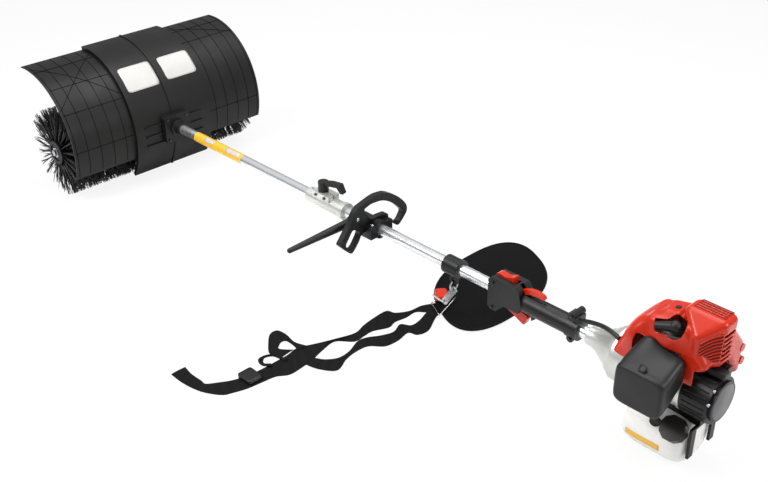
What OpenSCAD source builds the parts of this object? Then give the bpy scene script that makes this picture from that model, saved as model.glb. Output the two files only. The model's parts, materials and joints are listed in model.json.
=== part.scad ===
// Power brush sweeper: a two-stroke engine on a split boom turns a 60 cm wide rotary brush
// through a worm gearbox, under a curved guard. Millimetres, +Z up, standing on the floor at Z = 0.
// The brush axis lies along Y, the boom along X, with the engine at +X.

/* [Brush] */
// Radius of the brush over its bristle tips
brush_r = 122; // [116:0.5:126]
// From the middle of the machine to the outer face of a hub disc
brush_half = 292; // [240:1:296]
// From the middle of the machine to the inner end of a brush core
brush_inner = 36; // [34:0.5:44]
// Radius of the brush core that carries the tufts
core_r = 30; // [26:0.5:36]
// Thickness of the backing sleeve that the tufts stand in
backing_t = 3; // [2:0.25:4]
// Width of one tuft of bristles
tuft_w = 3.2; // [2:0.1:4]
// Tufts around one ring
tufts_per_ring = 16; // [12:4:16]
// Rings of tufts on one half of the brush
tuft_rings = 13; // [10:1:13]
// Radius of the hub disc at the outer end of a core
hub_r = 33; // [31:0.5:40]
// Thickness of the hub disc
hub_t = 8; // [6:0.5:12]

/* [Guard] */
// Outer radius of the guard's wings
guard_r = 200; // [196:0.5:215]
// Wall of the wings and of the middle band
guard_t = 3; // [2:0.25:4]
// How far the guard's centre lies ahead of the brush axis
guard_ahead = 64; // [58:0.5:68]
// How far the guard's centre lies above the brush axis
guard_rise = 28.5; // [24:0.5:32]
// From the middle of the machine to a wing's outer edge
guard_half = 304; // [300:1:340]
// From the middle of the machine to the step at the band's edge
band_half = 122; // [100:1:140]
// Height of the band's step above the wings
band_step = 9.5; // [8:0.25:12]
// How far a wing reaches in under the band
wing_lap = 22; // [12:1:30]
// Angle of the guard's upper front edge, up from the rear
guard_top_angle = 96.5; // [90:0.5:104]
// Angle of the wings' lower rear edge, below level
wing_low_angle = 18; // [10:0.5:22]
// Angle of the band's lower rear edge, below level
band_low_angle = 35.5; // [30:0.5:38]

/* [Worm gearbox] */
// Module of the worm and the wheel
gear_module = 1.5; // [1.45:0.05:1.55]
// Teeth on the worm wheel, which is also the reduction
wheel_teeth = 36; // [34:1:38]
// Pitch diameter of the worm
worm_d = 16; // [15:0.5:17]
// Turns of thread on the worm, an odd number
worm_turns = 7; // [5:2:7]
// Width of the wheel's teeth
wheel_w = 14; // [10:0.5:18]
// Radius of the output shaft that carries both brush cores
shaft_r = 10; // [9:0.25:11]
// Radius of the worm's own shaft
worm_shaft_r = 5; // [4.5:0.25:5.25]
// Outer radius of an output bearing
bearing_r = 21; // [20:0.25:21.5]
// Width of an output bearing
bearing_w = 12; // [10:0.5:14]
// Outer radius of a worm bearing
worm_bearing_r = 13; // [12:0.25:13.25]
// Width of a worm bearing
worm_bearing_w = 8; // [6:0.5:8]
// Outer radius of the gear case
case_r = 38; // [36:0.5:42]
// Half of the inner width of the gear case
case_inner_half = 17; // [17:0.5:19]
// Outer radius of the neck that holds the boom
neck_r = 19; // [18:0.5:21]

/* [Boom] */
// Outer diameter of the boom tube
tube_d = 26; // [25:0.5:28]
// Wall of the boom tube
tube_t = 1.6; // [1:0.1:2]
// Diameter of the drive shaft in the boom
drive_d = 8; // [7:0.25:8.5]
// From the brush axis to the front end of the lower tube
tube_front_x = 92; // [85:1:100]
// From the brush axis to the rear face of the guard bracket
bracket_x = 162; // [158:1:170]
// From the brush axis to the front of the coupler
coupler_x = 728; // [600:1:760]
// Length of the coupler
coupler_l = 130; // [120:1:150]
// Outer radius of the coupler's sleeve
coupler_r = 19; // [18:0.5:22]
// From the coupler's rear end to the middle of the loop handle
handle_gap = 92; // [75:1:140]
// From the brush axis to the middle of the harness hanger
hanger_x = 1201; // [1150:1:1230]
// Outer radius of the harness hanger
hanger_r = 21; // [19:0.5:24]

/* [Loop handle] */
// Overall width of the loop
loop_w = 226; // [200:1:240]
// Depth of the loop along the boom
loop_depth = 14; // [12:0.5:18]
// Reach of the barrier bar to the left of the boom
barrier_l = 227; // [180:1:260]
// Radius of the barrier bar at its root
barrier_r = 11; // [9:0.5:13]
// Radius of the barrier bar at its tip
barrier_tip_r = 6; // [4:0.5:8]

/* [Rear grip] */
// From the brush axis to the front of the rear grip
grip_x = 1314; // [1300:1:1318]
// Length of the switch block at the grip's front
grip_block_l = 80; // [78:0.5:84]
// Half of the switch block's width
grip_half = 22; // [20:0.5:24]
// Height of the switch block above the boom's axis
grip_up = 38; // [37:0.5:41]
// Depth of the switch block below the boom's axis at its front
grip_down = 40; // [38:0.5:42]
// Overall length of the grip with its end clamp
grip_l = 221; // [218:1:224]
// Radius of the hand grip
grip_r = 20.5; // [19.5:0.25:22]
// Wall of the grip's two shells
grip_wall = 2.5; // [2:0.25:3]

/* [Engine] */
// From the grip's end to the front of the clutch housing
clutch_gap = 21; // [18:1:40]
// Length of the clutch housing
clutch_l = 78; // [75:1:84]
// Radius of the clutch housing's flange
clutch_r = 54; // [52:0.5:56]
// Length of the fan housing
fan_l = 44; // [42:0.5:50]
// Outer radius of the fan housing
fan_r = 57; // [56:0.5:60]
// Radius of the flywheel
flywheel_r = 49; // [46:0.5:50]
// Front wall of the crankcase
case_front_t = 36; // [30:0.5:40]
// Length of the crank chamber
chamber_l = 54; // [52:0.5:60]
// Rear wall of the crankcase
case_rear_t = 12; // [10:0.5:16]
// Outer radius of the crankcase
crankcase_r = 45; // [42:0.5:46]
// Radius of the crank webs
web_r = 30; // [28:0.5:31]
// Bore of the cylinder
cylinder_bore = 44; // [42:0.5:45]
// Stroke of the piston
stroke = 32; // [28:0.5:34]
// Length of the connecting rod between its eyes
rod_l = 62; // [61:0.5:64]
// Radius of the cylinder's cooling fins
fin_r = 36; // [33:0.5:37]
// Cooling fins on the cylinder
fin_count = 7; // [5:1:8]
// Length of the starter housing
starter_l = 56; // [52:0.5:64]
// Outer radius of the starter housing
starter_r = 47; // [45:0.5:50]
// Radius of the raised disc on the starter
badge_r = 40; // [34:0.5:42]
// Height of the raised disc on the starter
badge_t = 6; // [3:0.5:8]

/* [Fuel and air] */
// Length of the fuel tank along the boom
tank_l = 136; // [126:1:140]
// Half of the fuel tank's width
tank_half = 58; // [54:0.5:62]
// Height of the fuel tank
tank_h = 95; // [90:0.5:97]
// Rounding of the fuel tank
tank_round = 22; // [16:0.5:26]
// Wall of the fuel tank
tank_t = 2.5; // [2:0.25:4]
// Radius of the fuel cap
cap_r = 25; // [23:0.5:27]
// Height of the fuel cap
cap_h = 22; // [18:0.5:26]
// Tilt of the fuel cap to the left, from upright
cap_tilt = 48; // [40:1:52]
// Length of the air filter cover along the boom
filter_l = 100; // [94:1:106]
// Depth of the air filter cover, out to the left
filter_w = 73; // [70:1:78]
// Height of the air filter cover
filter_h = 100; // [94:1:104]

/* [Harness] */
// Width of the webbing
webbing_w = 38; // [34:0.5:42]
// Thickness of the webbing
webbing_t = 3; // [2:0.25:4]
// Length over which the harness is laid out, from the quick release to the strap's tail
harness_l = 570; // [540:1:600]
// Width of the hip pad along the boom
pad_w = 250; // [236:1:262]
// Length of the hip pad across the boom, before its skew
pad_l = 356; // [336:1:366]
// Thickness of the hip pad at its crown
pad_t = 20; // [14:0.5:26]

/* [Hidden] */
handle_x = coupler_x + coupler_l + handle_gap;
clutch_x = grip_x + grip_l + clutch_gap;
$fn = 48;
hull_fn = 24;
cut = 1;
// Running clearance of a turning or sliding fit, and the open gap between separate bodies
fit = 0.05;
gap = 0.3;

// Heights and stations that the sub-assemblies share
wheel_r = gear_module * wheel_teeth / 2;
gear_offset = wheel_r + worm_d / 2;
brush_z = brush_r;
boom_z = brush_z + gear_offset;
tube_r = tube_d / 2;
tube_bore_r = tube_r - tube_t;
drive_r = drive_d / 2;
guard_cx = -guard_ahead;
guard_cz = brush_z + guard_rise;
band_r = guard_r + band_step;
fan_x = clutch_x + clutch_l;
case_x = fan_x + fan_l;
chamber_x = case_x + case_front_t;
cylinder_x = chamber_x + chamber_l / 2;
case_rear_x = chamber_x + chamber_l;
starter_x = case_rear_x + case_rear_t;
starter_rear_x = starter_x + starter_l;
engine_rear_x = starter_rear_x + badge_t;

// Colours of the finishes
black_plastic = "#232324";
black_rubber = "#1b1b1c";
charcoal_plastic = "#39383a";
cast_aluminium = "#b9bbba";
bright_aluminium = "#d4d6d8";
steel = "#9a9da1";
orange_red = "#e1311c";
clear_tank = "#eeebe4";
black_cloth = "#1a191b";

// Gearbox details
worm_pitch = PI * gear_module;
worm_l = worm_turns * worm_pitch;
gear_addendum = 0.8 * gear_module;
mesh_gap = 0.4;
worm_tip_r = worm_d / 2 + gear_addendum;
wheel_tip_r = wheel_r + gear_addendum;
worm_root_r = gear_offset - wheel_tip_r - mesh_gap;
wheel_root_r = gear_offset - worm_tip_r - mesh_gap;
case_wall = 14;
case_half = case_inner_half + case_wall;
case_cavity_r = wheel_tip_r + 2 * mesh_gap + guard_t / 2;
barrel_wall = 3.5;
barrel_r = worm_bearing_r + barrel_wall;
worm_bearing_x = worm_l / 2 + worm_bearing_w;
barrel_front_x = -worm_bearing_x - worm_bearing_w / 2 - barrel_wall;
worm_socket_l = 28;
worm_rear_x = worm_bearing_x + worm_bearing_w / 2 + worm_socket_l;
drive_front_x = worm_rear_x - worm_socket_l / 2;
hub_clearance = 0.5;
wheel_hub_r = 16;
screw_circle_r_step = 4;
screw_circle_r = case_r - screw_circle_r_step;
screw_d = 4;
screw_head_d = 7;
screw_head_t = 3;
cover_screw_l_step = 8;
cover_screw_l = case_wall + cover_screw_l_step;
// Tooth outline: offsets across one pitch for root and tip, and the worm's thread likewise
tooth_root_share = 0.22;
tooth_tip_share = 0.11;
thread_shares = [-0.22, -0.1, -0.03, 0.03, 0.1, 0.22, 0.33, 0.44, 0.56, 0.67];
thread_tip_shares = [0, 1, 1, 1, 1, 0, 0, 0, 0, 0];
worm_slices = 12 * worm_turns;

// Brush details
shaft_end = brush_half - hub_t;
tuft_start_step = 10;
tuft_start = brush_inner + tuft_start_step;
tuft_end = brush_half - hub_t;
tuft_pitch = (tuft_end - tuft_start - tuft_w) / (tuft_rings - 1);
tuft_root = backing_t / 3;
bolt_r = 5;
bolt_l = 30;
bolt_head_r = 9;
bolt_head_t = 6;
washer_r = 14;
washer_t = 2;
hub_recess_r = 24;
hub_recess_t = 2.5;

// Guard details
lip_rise = 2.5;
bracket_half = 40;
bracket_up = 38;
bracket_down = 42;
bracket_round = 6;
finger_l = 52;
finger_t = 4;
finger_w = 5;
finger_angles = [6.5, -1, -8.5];
bracket_bolt_inset = 10;
bracket_bolt_l = 16;

// Coupler details
tube_split_x_step = 72;
tube_split_x = coupler_x + tube_split_x_step;
clamp_block_x_step = 24;
clamp_block_x = coupler_x + clamp_block_x_step;
clamp_block_l = 60;
clamp_block_half = 17;
clamp_block_up = 27;
clamp_slot_w = 2.5;
coupler_lip_r_step = 2.5;
coupler_lip_r = coupler_r + coupler_lip_r_step;
coupler_lip_l = 12;
coupler_screw_l = 30;
knob_x_step = 6;
knob_x = clamp_block_x + clamp_block_l / 2 - knob_x_step;
knob_hub_r = 13;
knob_hub_h = 16;
knob_arm_l = 52;
knob_arm_w = 16;
knob_arm_t = 9;
knob_tip_drop = 8;
knob_turn = 14;
knob_stud_r = 4;
knob_stud_l = 9;

// Loop handle details: outlines as shares of its width, seen from behind
loop_shares = [
    [0.12, -0.01], [0.188, 0], [0.24, -0.05], [0.296, -0.097], [0.34, -0.094], [0.41, -0.03],
    [0.447, 0.031], [0.421, 0.117], [0.3, 0.243], [0.158, 0.332], [0.07, 0.352], [-0.021, 0.357],
    [-0.173, 0.324], [-0.269, 0.285], [-0.355, 0.151], [-0.46, 0.02], [-0.49, -0.02],
    [-0.465, -0.06], [-0.36, -0.165], [-0.31, -0.158], [-0.24, -0.08], [-0.165, 0]
];
hand_gap_shares = [
    [-0.06, 0.115], [-0.12, 0.19], [-0.157, 0.25], [-0.1, 0.277], [-0.033, 0.284], [0.107, 0.262],
    [0.25, 0.175], [0.365, 0.06], [0.379, 0.02], [0.364, -0.005], [0.312, -0.062], [0.24, -0.022],
    [0.182, 0.013], [0.165, 0.09], [0.06, 0.11]
];
loop_slot_shares = [
    [-0.318, 0.08], [-0.27, 0.06], [-0.228, 0.018], [-0.28, -0.07], [-0.335, -0.125],
    [-0.385, -0.1], [-0.413, -0.05], [-0.37, 0.015]
];
saddle_t = 9;
saddle_half = 34;
saddle_l = 52;
saddle_drop = 6;
saddle_screw_l = 24;
barrier_back = 35;
barrier_up = 12;
barrier_boss_r = 14;
barrier_root_y_step = 6;
barrier_root_y = saddle_half + barrier_root_y_step;

// Hanger and hook details
hanger_l = 42;
tab_half = 3;
tab_l = 20;
tab_w = 22;
eye_r = 4;
eye_inset = 7;
wire_r = 2;
wire_sides = 8;
ring_r = 12;
hook_l = 46;
hook_w = 16;
hook_t = 4;
hook_lean = 32;
buckle_l = 40;
buckle_w = 28;
buckle_t = 14;
buckle_turn = -42;
// The quick release lies on the pad's rising edge, at this share of the crown's height
buckle_rest_share = 0.85;
triangle_side = 39;

// Hip pad details: outline exponent, skew and waist of a rounded parallelogram
pad_power = 2.4;
pad_skew_share = -0.48;
pad_waist_share = 0.02;
pad_x_step = 48;
pad_x = hanger_x - pad_x_step;
pad_y = 186;
pad_points = 40;
pad_ring_shares = [0.3, 0.6, 0.82, 0.94, 1, 1, 0.96];
pad_rise_shares = [1, 0.96, 0.84, 0.62, 0.38, 0.14, 0];

// Harness webbing: centre lines as shares of the harness's length, from the quick release's corner
harness_x_step = 66;
harness_x = hanger_x - harness_x_step;
harness_y = 20;
tail_shares = [
    [-0.4, -0.967], [-0.262, -0.96], [-0.2, -0.905], [-0.184, -0.82], [-0.16, -0.7], [-0.15, -0.6]
];
upper_strand_shares = [
    [-0.14, -0.58], [-0.132, -0.44], [-0.1, -0.33], [-0.098, -0.22], [-0.086, -0.1], [-0.045, -0.01],
        [-0.022, 0.073]
];
lower_strand_shares = [
    [-0.12, -0.6], [-0.045, -0.55], [-0.04, -0.42], [-0.035, -0.32], [-0.005, -0.26],
    [0.005, -0.17], [0.032, -0.11], [0.02, -0.03], [0.002, 0.052]
];
side_loop_shares = [
    [-0.165, -0.608], [-0.25, -0.64], [-0.325, -0.605], [-0.33, -0.555], [-0.26, -0.54], [-0.165, -0.56]
];
small_loop_shares = [[-0.16, -0.63], [-0.225, -0.655], [-0.235, -0.7], [-0.19, -0.715]];
strand_w_share = 0.86;
loop_w_share = 0.42;
patch_shares = [[-0.2, -0.61], [-0.175, -0.53], [-0.09, -0.56], [-0.085, -0.7]];
adjuster_l = 30;
adjuster_t = 7;
adjuster_y_share = -0.8;
adjuster_x_share = -0.18;

// Rear grip details, measured from the grip's front and from the boom's axis
block_corner = 8;
block_rear_down = 26;
block_slope_shares = [0.28, 0.55];
lever_slot_half = 7;
trigger_half = lever_slot_half - gap - fit;
trigger_shares = [
    [0.45, -0.75], [0.456, -0.5], [0.55, -0.4], [0.75, -0.4625], [1.15, -0.65], [1.19, -0.8],
    [1.09, -1.24], [1.03, -1.25], [0.725, -0.975]
];
lever_pin_r = 2.5;
lever_boss_r = 5.5;
trigger_pivot = [grip_block_l / 2, -tube_r - lever_boss_r - 2 * gap];
trigger_slot_shares = [0.4, 1.25];
lug_shares = [[1.265, -0.375], [1.5, -0.375], [1.425, -0.6], [1.3, -0.825]];
lug_half = 6;
lockout_half = 5;
lockout_slot_half = lockout_half + gap + fit;
lockout_pivot_shares = [0.95, 0.6];
lockout_pivot = [lockout_pivot_shares.x * grip_block_l, lockout_pivot_shares.y * grip_down];
lockout_boss_r = 4.5;
lockout_shares = [
    [0.9, 0.55], [0.925, 0.7], [1.05, 0.825], [1.25, 0.95], [1.45, 0.975], [1.6, 0.9],
    [1.65, 0.775], [1.625, 0.675], [1.4, 0.7], [1.2, 0.65], [1.025, 0.4875]
];
lockout_slot_shares = [0.85, 1.7];
switch_l = 46;
switch_half = 8;
switch_x = 10;
switch_travel = 7;
switch_floor = 9;
switch_rise = 12;
// Side outline of the stop switch, as shares of its length and of its height over the block
switch_shares = [[0, 0.25], [0.14, 0.6], [0.55, 0.4], [0.8, 0.7], [0.92, 1], [1, 0.95]];
clamp_l = 26;
clamp_half = 12;
clamp_up = 34;
clamp_down = 18;
clamp_boss_r = 8;
clamp_boss_half = 18;
grip_screw_inset = 12;

// Throttle conduit: its route as points chosen by hand, measured from the grip's end on the boom's axis
conduit_r = 4;
conduit_sides = 8;
conduit_route = [
    [1.2, -8, 27], [9, -8, 27], [27, -12, 39], [45, -16, 50], [65, -20, 58],
    [81, -24, 61], [94, -31, 54.5], [104.5, -33, 54]
];

// Clutch and crank details
clutch_neck_l = 26;
clutch_neck_r_step = 6;
clutch_neck_r = tube_r + clutch_neck_r_step;
clutch_profile_shares = [[0.17, 0.37], [0.34, 0.44], [0.56, 0.62], [0.75, 0.8], [0.86, 0.93], [1, 1]];
drum_r = 36;
drum_t = 3;
drum_l = 20;
drum_hub_r = 10;
drum_gap = 2;
drum_x = fan_x - drum_l - drum_gap;
drum_hub_l = 18;
shoe_r = drum_r - drum_t - 2 * gap;
shoe_t = 14;
shoe_l = 13;
shoe_split = 5;
carrier_r = 9;
flywheel_gap = 6;
flywheel_l = fan_l - 2 * flywheel_gap;
flywheel_hub_r = 16;
blade_count = 16;
blade_t = 2.5;
blade_l = 14;
rim_t = 8;
fan_t = 5.5;
journal_r = 7.5;
web_t = 12;
web_clearance = 4;
rod_space = chamber_l - 2 * (web_t + web_clearance);
chamber_r_step = 3;
chamber_r = web_r + chamber_r_step;
deck_h_step = 3;
deck_h = chamber_r + deck_h_step;
deck_half = 34;
pawl_r = 12;
pawl_l = 10;
crank_r = stroke / 2;
pin_z = boom_z - crank_r + rod_l;
piston_up = 17;
piston_down = 13;
piston_t = 4;
piston_r = cylinder_bore / 2 - fit;
wrist_r = 5;
crankpin_r = 6;
eye_wall = 4;
rod_t = 9;
rod_web = 9;
barrel_t = 6;
flange_t = 8;
flange_half = 35;
deck_z = boom_z + deck_h;
bore_top_z_step = 2;
bore_top_z = pin_z + stroke + piston_up + bore_top_z_step;
fin_t = 2.5;
head_t = 12;
port_r = 11;
port_reach = 42;
exhaust_reach = 46.5;
plug_tilt = 45;
plug_back = 6;
plug_thread_r = 5;
plug_thread_l = 10;
plug_hex_r = 9;
plug_hex_l = 9;
plug_tip_r = 4;
plug_tip_l = 18;
boot_r = 11.5;
boot_l = 30;
boot_stub_r = 7;
boot_stub_l = 36;
boot_stub_turn = 200;
boot_hole_r = 21;

// Engine cover details
cover_t = 3;
cover_gap = gap;
cover_x_step = 6;
cover_x = fan_x + cover_x_step;
cover_front_r = fan_r + cover_gap + cover_t;
cover_front_l = 44;
cover_round = 12;
cover_left = 42;
cover_right = 44;
cover_shoulder_z_step = 141;
cover_shoulder_z = boom_z + cover_shoulder_z_step;
cover_top_z_step = 162;
cover_top_z = boom_z + cover_top_z_step;
cover_rear_x_step = 14;
cover_rear_x = engine_rear_x - cover_rear_x_step;
cover_rear_left = 12;
cover_rear_right = 38;
cover_rear_l = 84;
cover_rear_z_step = 66;
cover_rear_z = boom_z + cover_rear_z_step;
cover_low_z_step = 34;
cover_low_z = boom_z + cover_low_z_step;
cover_chamfer_l = 38;
skirt_l = 44;
skirt_right = 76;
skirt_low_z_step = 20;
skirt_low_z = boom_z + skirt_low_z_step;
skirt_high_z_step = 95;
skirt_high_z = boom_z + skirt_high_z_step;
cheek_x_step = 25;
cheek_x = cylinder_x + cheek_x_step;
cheek_l = 32;
cheek_low_z_step = 31;
cheek_low_z = boom_z + cheek_low_z_step;
cheek_high_z_step = 27;
cheek_high_z = cover_rear_z + cheek_high_z_step;
louvre_count = 7;
louvre_t = 4;
louvre_pitch = 10;
louvre_inset = 6;

// Carburettor, filter and muffler details
intake_z_step = 21;
intake_z = deck_z + intake_z_step;
carb_l = 44;
carb_h = 32;
carb_depth = 30;
horn_r = 15;
filter_round = 24;
filter_edge = 8;
filter_t = 3;
filter_inner = 47;
filter_x_step = 53;
filter_x = cylinder_x - filter_x_step;
filter_z_step = 13;
filter_z = boom_z - filter_z_step;
latch_w = 12;
latch_t = 4;
muffler_l = 74;
muffler_w = 40;
muffler_h = 80;
muffler_round = 8;
muffler_z_step = 36;
muffler_z = intake_z - muffler_z_step;
outlet_r = 9;
outlet_l = 10;
outlet_y = exhaust_reach + muffler_w + outlet_l;

// Starter details
starter_t = 4;
pulley_r = 36;
pulley_l = 14;
pulley_groove = 6;
post_r = 7;
pulley_x_step = 2;
pulley_x = starter_rear_x - starter_t - pulley_l - pulley_x_step;
guide_half = 13;
guide_t = 14;
guide_y = 10.5;
guide_up = 63.5;
grip_bar_l = 36;
grip_bar_w = 20;
grip_bar_h = 16;
grip_bar_round = 5;
rope_r = 2;
rope_x = pulley_x + pulley_l / 2;
rope_z = boom_z + guide_up - grip_bar_h / 2;

// Tank and stand details
tank_x_step = 69;
tank_x = cylinder_x - tank_x_step;
tank_edge = 10;
cap_inset = 12;
cap_x = tank_x + tank_l - cap_inset - cap_r / 2;
cap_neck_r = 18;
cap_pocket_r_step = 3;
cap_pocket_r = cap_r + cap_pocket_r_step;
cap_neck_l = 14;
cap_neck_t = 3;
cap_y_step = 20;
cap_y = tank_half - cap_y_step;
cap_z_step = 16;
cap_z = tank_h - cap_z_step;
cap_sides = 10;
stand_t = 6;
stand_half = 44;
stand_leg_w = 16;
stand_leg_z = 34;
stand_x_step = 3;
stand_x = tank_x + tank_l + stand_x_step;
saddle_w = 19;

// Helpers: placed bars, blocks and slabs along the three axes
module bar_x(x0, x1, r, y = 0, z = boom_z)
    translate([x0, y, z]) rotate([0, 90, 0]) cylinder(h = x1 - x0, r = r);

module bar_y(y0, y1, r, x = 0, z = brush_z)
    translate([x, y0, z]) rotate([-90, 0, 0]) cylinder(h = y1 - y0, r = r);

module bar_z(z0, z1, r, x = 0, y = 0)
    translate([x, y, z0]) cylinder(h = z1 - z0, r = r);

module block(low, high)
    translate(low) cube(high - low);

// A flat outline in X and Z, carried along Y
module slab_y(y0, y1)
    translate([0, y1, 0]) rotate([90, 0, 0]) linear_extrude(y1 - y0) children();

// A flat outline in Y and Z, carried along X
module slab_x(x0, x1)
    translate([x0, 0, 0]) rotate([90, 0, 90]) linear_extrude(x1 - x0) children();

// A profile of [radius, distance] points spun about the boom's axis, starting at x
module spun_x(x, points)
    translate([x, 0, boom_z]) rotate([0, 90, 0]) rotate_extrude() polygon(points);

// A box with round upright corners and bevelled top and bottom edges
module soft_block(low, high, round, edge)
    hull()
        for (x = [low.x + round, high.x - round], y = [low.y + round, high.y - round])
            translate([x, y, low.z]) {
                translate([0, 0, edge]) cylinder(h = high.z - low.z - 2 * edge, r = round,
                    $fn = hull_fn);
                cylinder(h = high.z - low.z, r = round - edge, $fn = hull_fn);
            }

// The same soft box lying on its back, with its bevelled faces at the two Y ends
module soft_block_y(low, high, round, edge)
    translate([0, low.y, 0]) rotate([90, 0, 0]) mirror([0, 0, 1])
        soft_block([low.x, low.z, 0], [high.x, high.z, high.y - low.y], round, edge);

// A smooth run through hand-placed points, each step a cubic between its neighbours
function smooth_point(a, b, c, d, t) =
    b + (c - a) * t / 2 + (a - 2.5 * b + 2 * c - d / 2) * t * t
    + (-a / 2 + 1.5 * b - 1.5 * c + d / 2) * t * t * t;

function smooth_run(points, steps) = let (last = len(points) - 1) [
    for (i = [0 : last - 1], k = [0 : steps - 1])
        smooth_point(points[max(i - 1, 0)], points[i], points[i + 1], points[min(i + 2, last)],
            k / steps),
    points[last]
];

function smooth_loop(points, steps) = let (n = len(points)) [
    for (i = [0 : n - 1], k = [0 : steps - 1])
        smooth_point(points[(i + n - 1) % n], points[i], points[(i + 1) % n], points[(i + 2) % n],
            k / steps)
];

// Both edges of a band of even width along a run
function run_normal(run, i) = let (
        d = run[min(i + 1, len(run) - 1)] - run[max(i - 1, 0)]
    ) [-d.y, d.x] / norm(d);

function band_outline(run, width) = concat(
    [for (i = [0 : len(run) - 1]) run[i] + run_normal(run, i) * width / 2],
    [for (i = [len(run) - 1 : -1 : 0]) run[i] - run_normal(run, i) * width / 2]
);

// Everything is drawn from the brush axis, then moved so that the origin is under the middle
strap_tail = [for (p = tail_shares) [harness_x, harness_y] + p * harness_l];
function pad_edge(angle) = let (
        s = sin(angle),
        c = cos(angle),
        r = pow(pow(abs(c), pad_power) + pow(abs(s), pad_power), -1 / pad_power),
        waist = 1 - pad_waist_share * (1 + cos(4 * angle)) / 2,
        x = r * c * waist * pad_w / 2
    ) [x, r * s * waist * pad_l / 2 + pad_skew_share * x];
pad_outline = [for (i = [0 : pad_points - 1]) pad_edge(360 * i / pad_points)];
tail_outline = band_outline(smooth_run(strap_tail, 4), webbing_w * strand_w_share);
low_y = min([for (p = tail_outline) p.y]);
high_y = pad_y + max([for (p = pad_outline) p.y]);
centre = [(engine_rear_x - brush_r) / 2, (low_y + high_y) / 2];

module framed()
    translate([-centre.x, -centre.y, 0]) children();

// Screws: [place, turn, length], each with a head on the seat and a shank into the part
module screw(place, turn, length)
    translate(place) rotate(turn) {
        translate([0, 0, -screw_head_t]) cylinder(h = screw_head_t, d = screw_head_d);
        cylinder(h = length, d = screw_d);
    }

module screw_bores(list)
    for (s = list)
        translate(s[0]) rotate(s[1]) translate([0, 0, -cut]) cylinder(h = s[2] + cut + gap,
            d = screw_d);

cover_screws = [for (a = [-60, 180, 240, 0])
    [[screw_circle_r * cos(a), case_half, brush_z + screw_circle_r * sin(a)], [90, 0, 0],
        cover_screw_l]];
coupler_screws = [for (x = [0.25, 0.75])
    [[clamp_block_x + clamp_block_l * x, -clamp_block_half,
        boom_z + tube_r + (clamp_block_up - tube_r) / 2],
        [-90, 0, 0], coupler_screw_l]];
saddle_screws = [for (x = [-1, 1], y = [-1, 1])
    [[handle_x + (saddle_l / 2 - loop_depth / 2) / 2 + x * screw_head_d,
        y * (tube_r + saddle_half) / 2, boom_z - saddle_t - saddle_drop],
        [0, 0, 0], saddle_screw_l]];
clamp_screws = [for (z = [-clamp_down, clamp_up])
    [[grip_x + grip_l - clamp_l / 2, -clamp_boss_half, boom_z + z], [-90, 0, 0],
        2 * clamp_boss_half - tube_t]];
block_screws = [for (z = [(tube_r + grip_up) / 2, grip_screw_inset / 2 - grip_down])
    [[grip_x + grip_screw_inset, -grip_half, boom_z + z], [-90, 0, 0], 2 * grip_half - grip_wall]];
bracket_screws = [for (y = [-1, 1], z = [bracket_up - bracket_bolt_inset,
    bracket_bolt_inset - bracket_down])
    [[bracket_x, y * (bracket_half - bracket_bolt_inset), boom_z + z], [0, -90, 0], bracket_bolt_l]];

// Guard: a wing's curved sheet and the raised band in two halves
module guard_arc(outer, inner, low, high) {
    reach = 2 * outer;
    translate([guard_cx, guard_cz]) intersection() {
        difference() {
            circle(r = outer);
            circle(r = inner);
        }
        polygon([[0, 0], for (k = [0 : 4]) let (a = low + (high - low) * k / 4) reach * [cos(a),
            sin(a)]]);
    }
}

module guard_wing(side)
    framed() color(black_plastic) mirror([0, side < 0 ? 1 : 0, 0])
        slab_y(band_half - wing_lap, guard_half)
            guard_arc(guard_r, guard_r - guard_t, -wing_low_angle, guard_top_angle);

module guard_wing_left() guard_wing(-1);
module guard_wing_right() guard_wing(1);

module guard_band(side)
    framed() color(black_plastic) mirror([0, side < 0 ? 1 : 0, 0]) difference() {
        union() {
            slab_y(0, band_half)
                guard_arc(band_r, band_r - guard_t, -band_low_angle, guard_top_angle);
            slab_y(band_half - guard_t, band_half)
                guard_arc(band_r, guard_r, -band_low_angle, guard_top_angle);
            slab_y(0, guard_t)
                guard_arc(band_r + lip_rise, guard_r, -band_low_angle, guard_top_angle);
        }
        bar_x(0, bracket_x + cut, neck_r);
    }

module guard_band_left() guard_band(-1);
module guard_band_right() guard_band(1);

// The bracket seats on the band and clamps it to the gearbox neck, with finger ribs each side
module guard_bracket()
    framed() color(black_plastic) difference() {
        union() {
            difference() {
                slab_x(0, bracket_x) translate([0, boom_z]) polygon([
                    [-bracket_half, bracket_round - bracket_down],
                        [bracket_round - bracket_half, -bracket_down],
                    [bracket_half - bracket_round, -bracket_down],
                        [bracket_half, bracket_round - bracket_down],
                    [bracket_half, bracket_up - bracket_round],
                        [bracket_half - bracket_round, bracket_up],
                    [bracket_round - bracket_half, bracket_up],
                        [-bracket_half, bracket_up - bracket_round]]);
                slab_y(-guard_half, guard_half) translate([guard_cx, guard_cz]) circle(r = band_r);
                slab_y(-guard_t, guard_t) translate([guard_cx, guard_cz]) circle(r = band_r + lip_rise);
            }
            for (a = finger_angles, side = [-1, 1]) {
                half = atan(finger_w / band_r) / 2;
                slab_y(side < 0 ? -bracket_half - finger_l : bracket_half - finger_t,
                    side < 0 ? finger_t - bracket_half : bracket_half + finger_l)
                    guard_arc(band_r + finger_t, band_r, a - half, a + half);
            }
        }
        bar_x(0, bracket_x + cut, neck_r);
        screw_bores(bracket_screws);
    }

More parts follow.
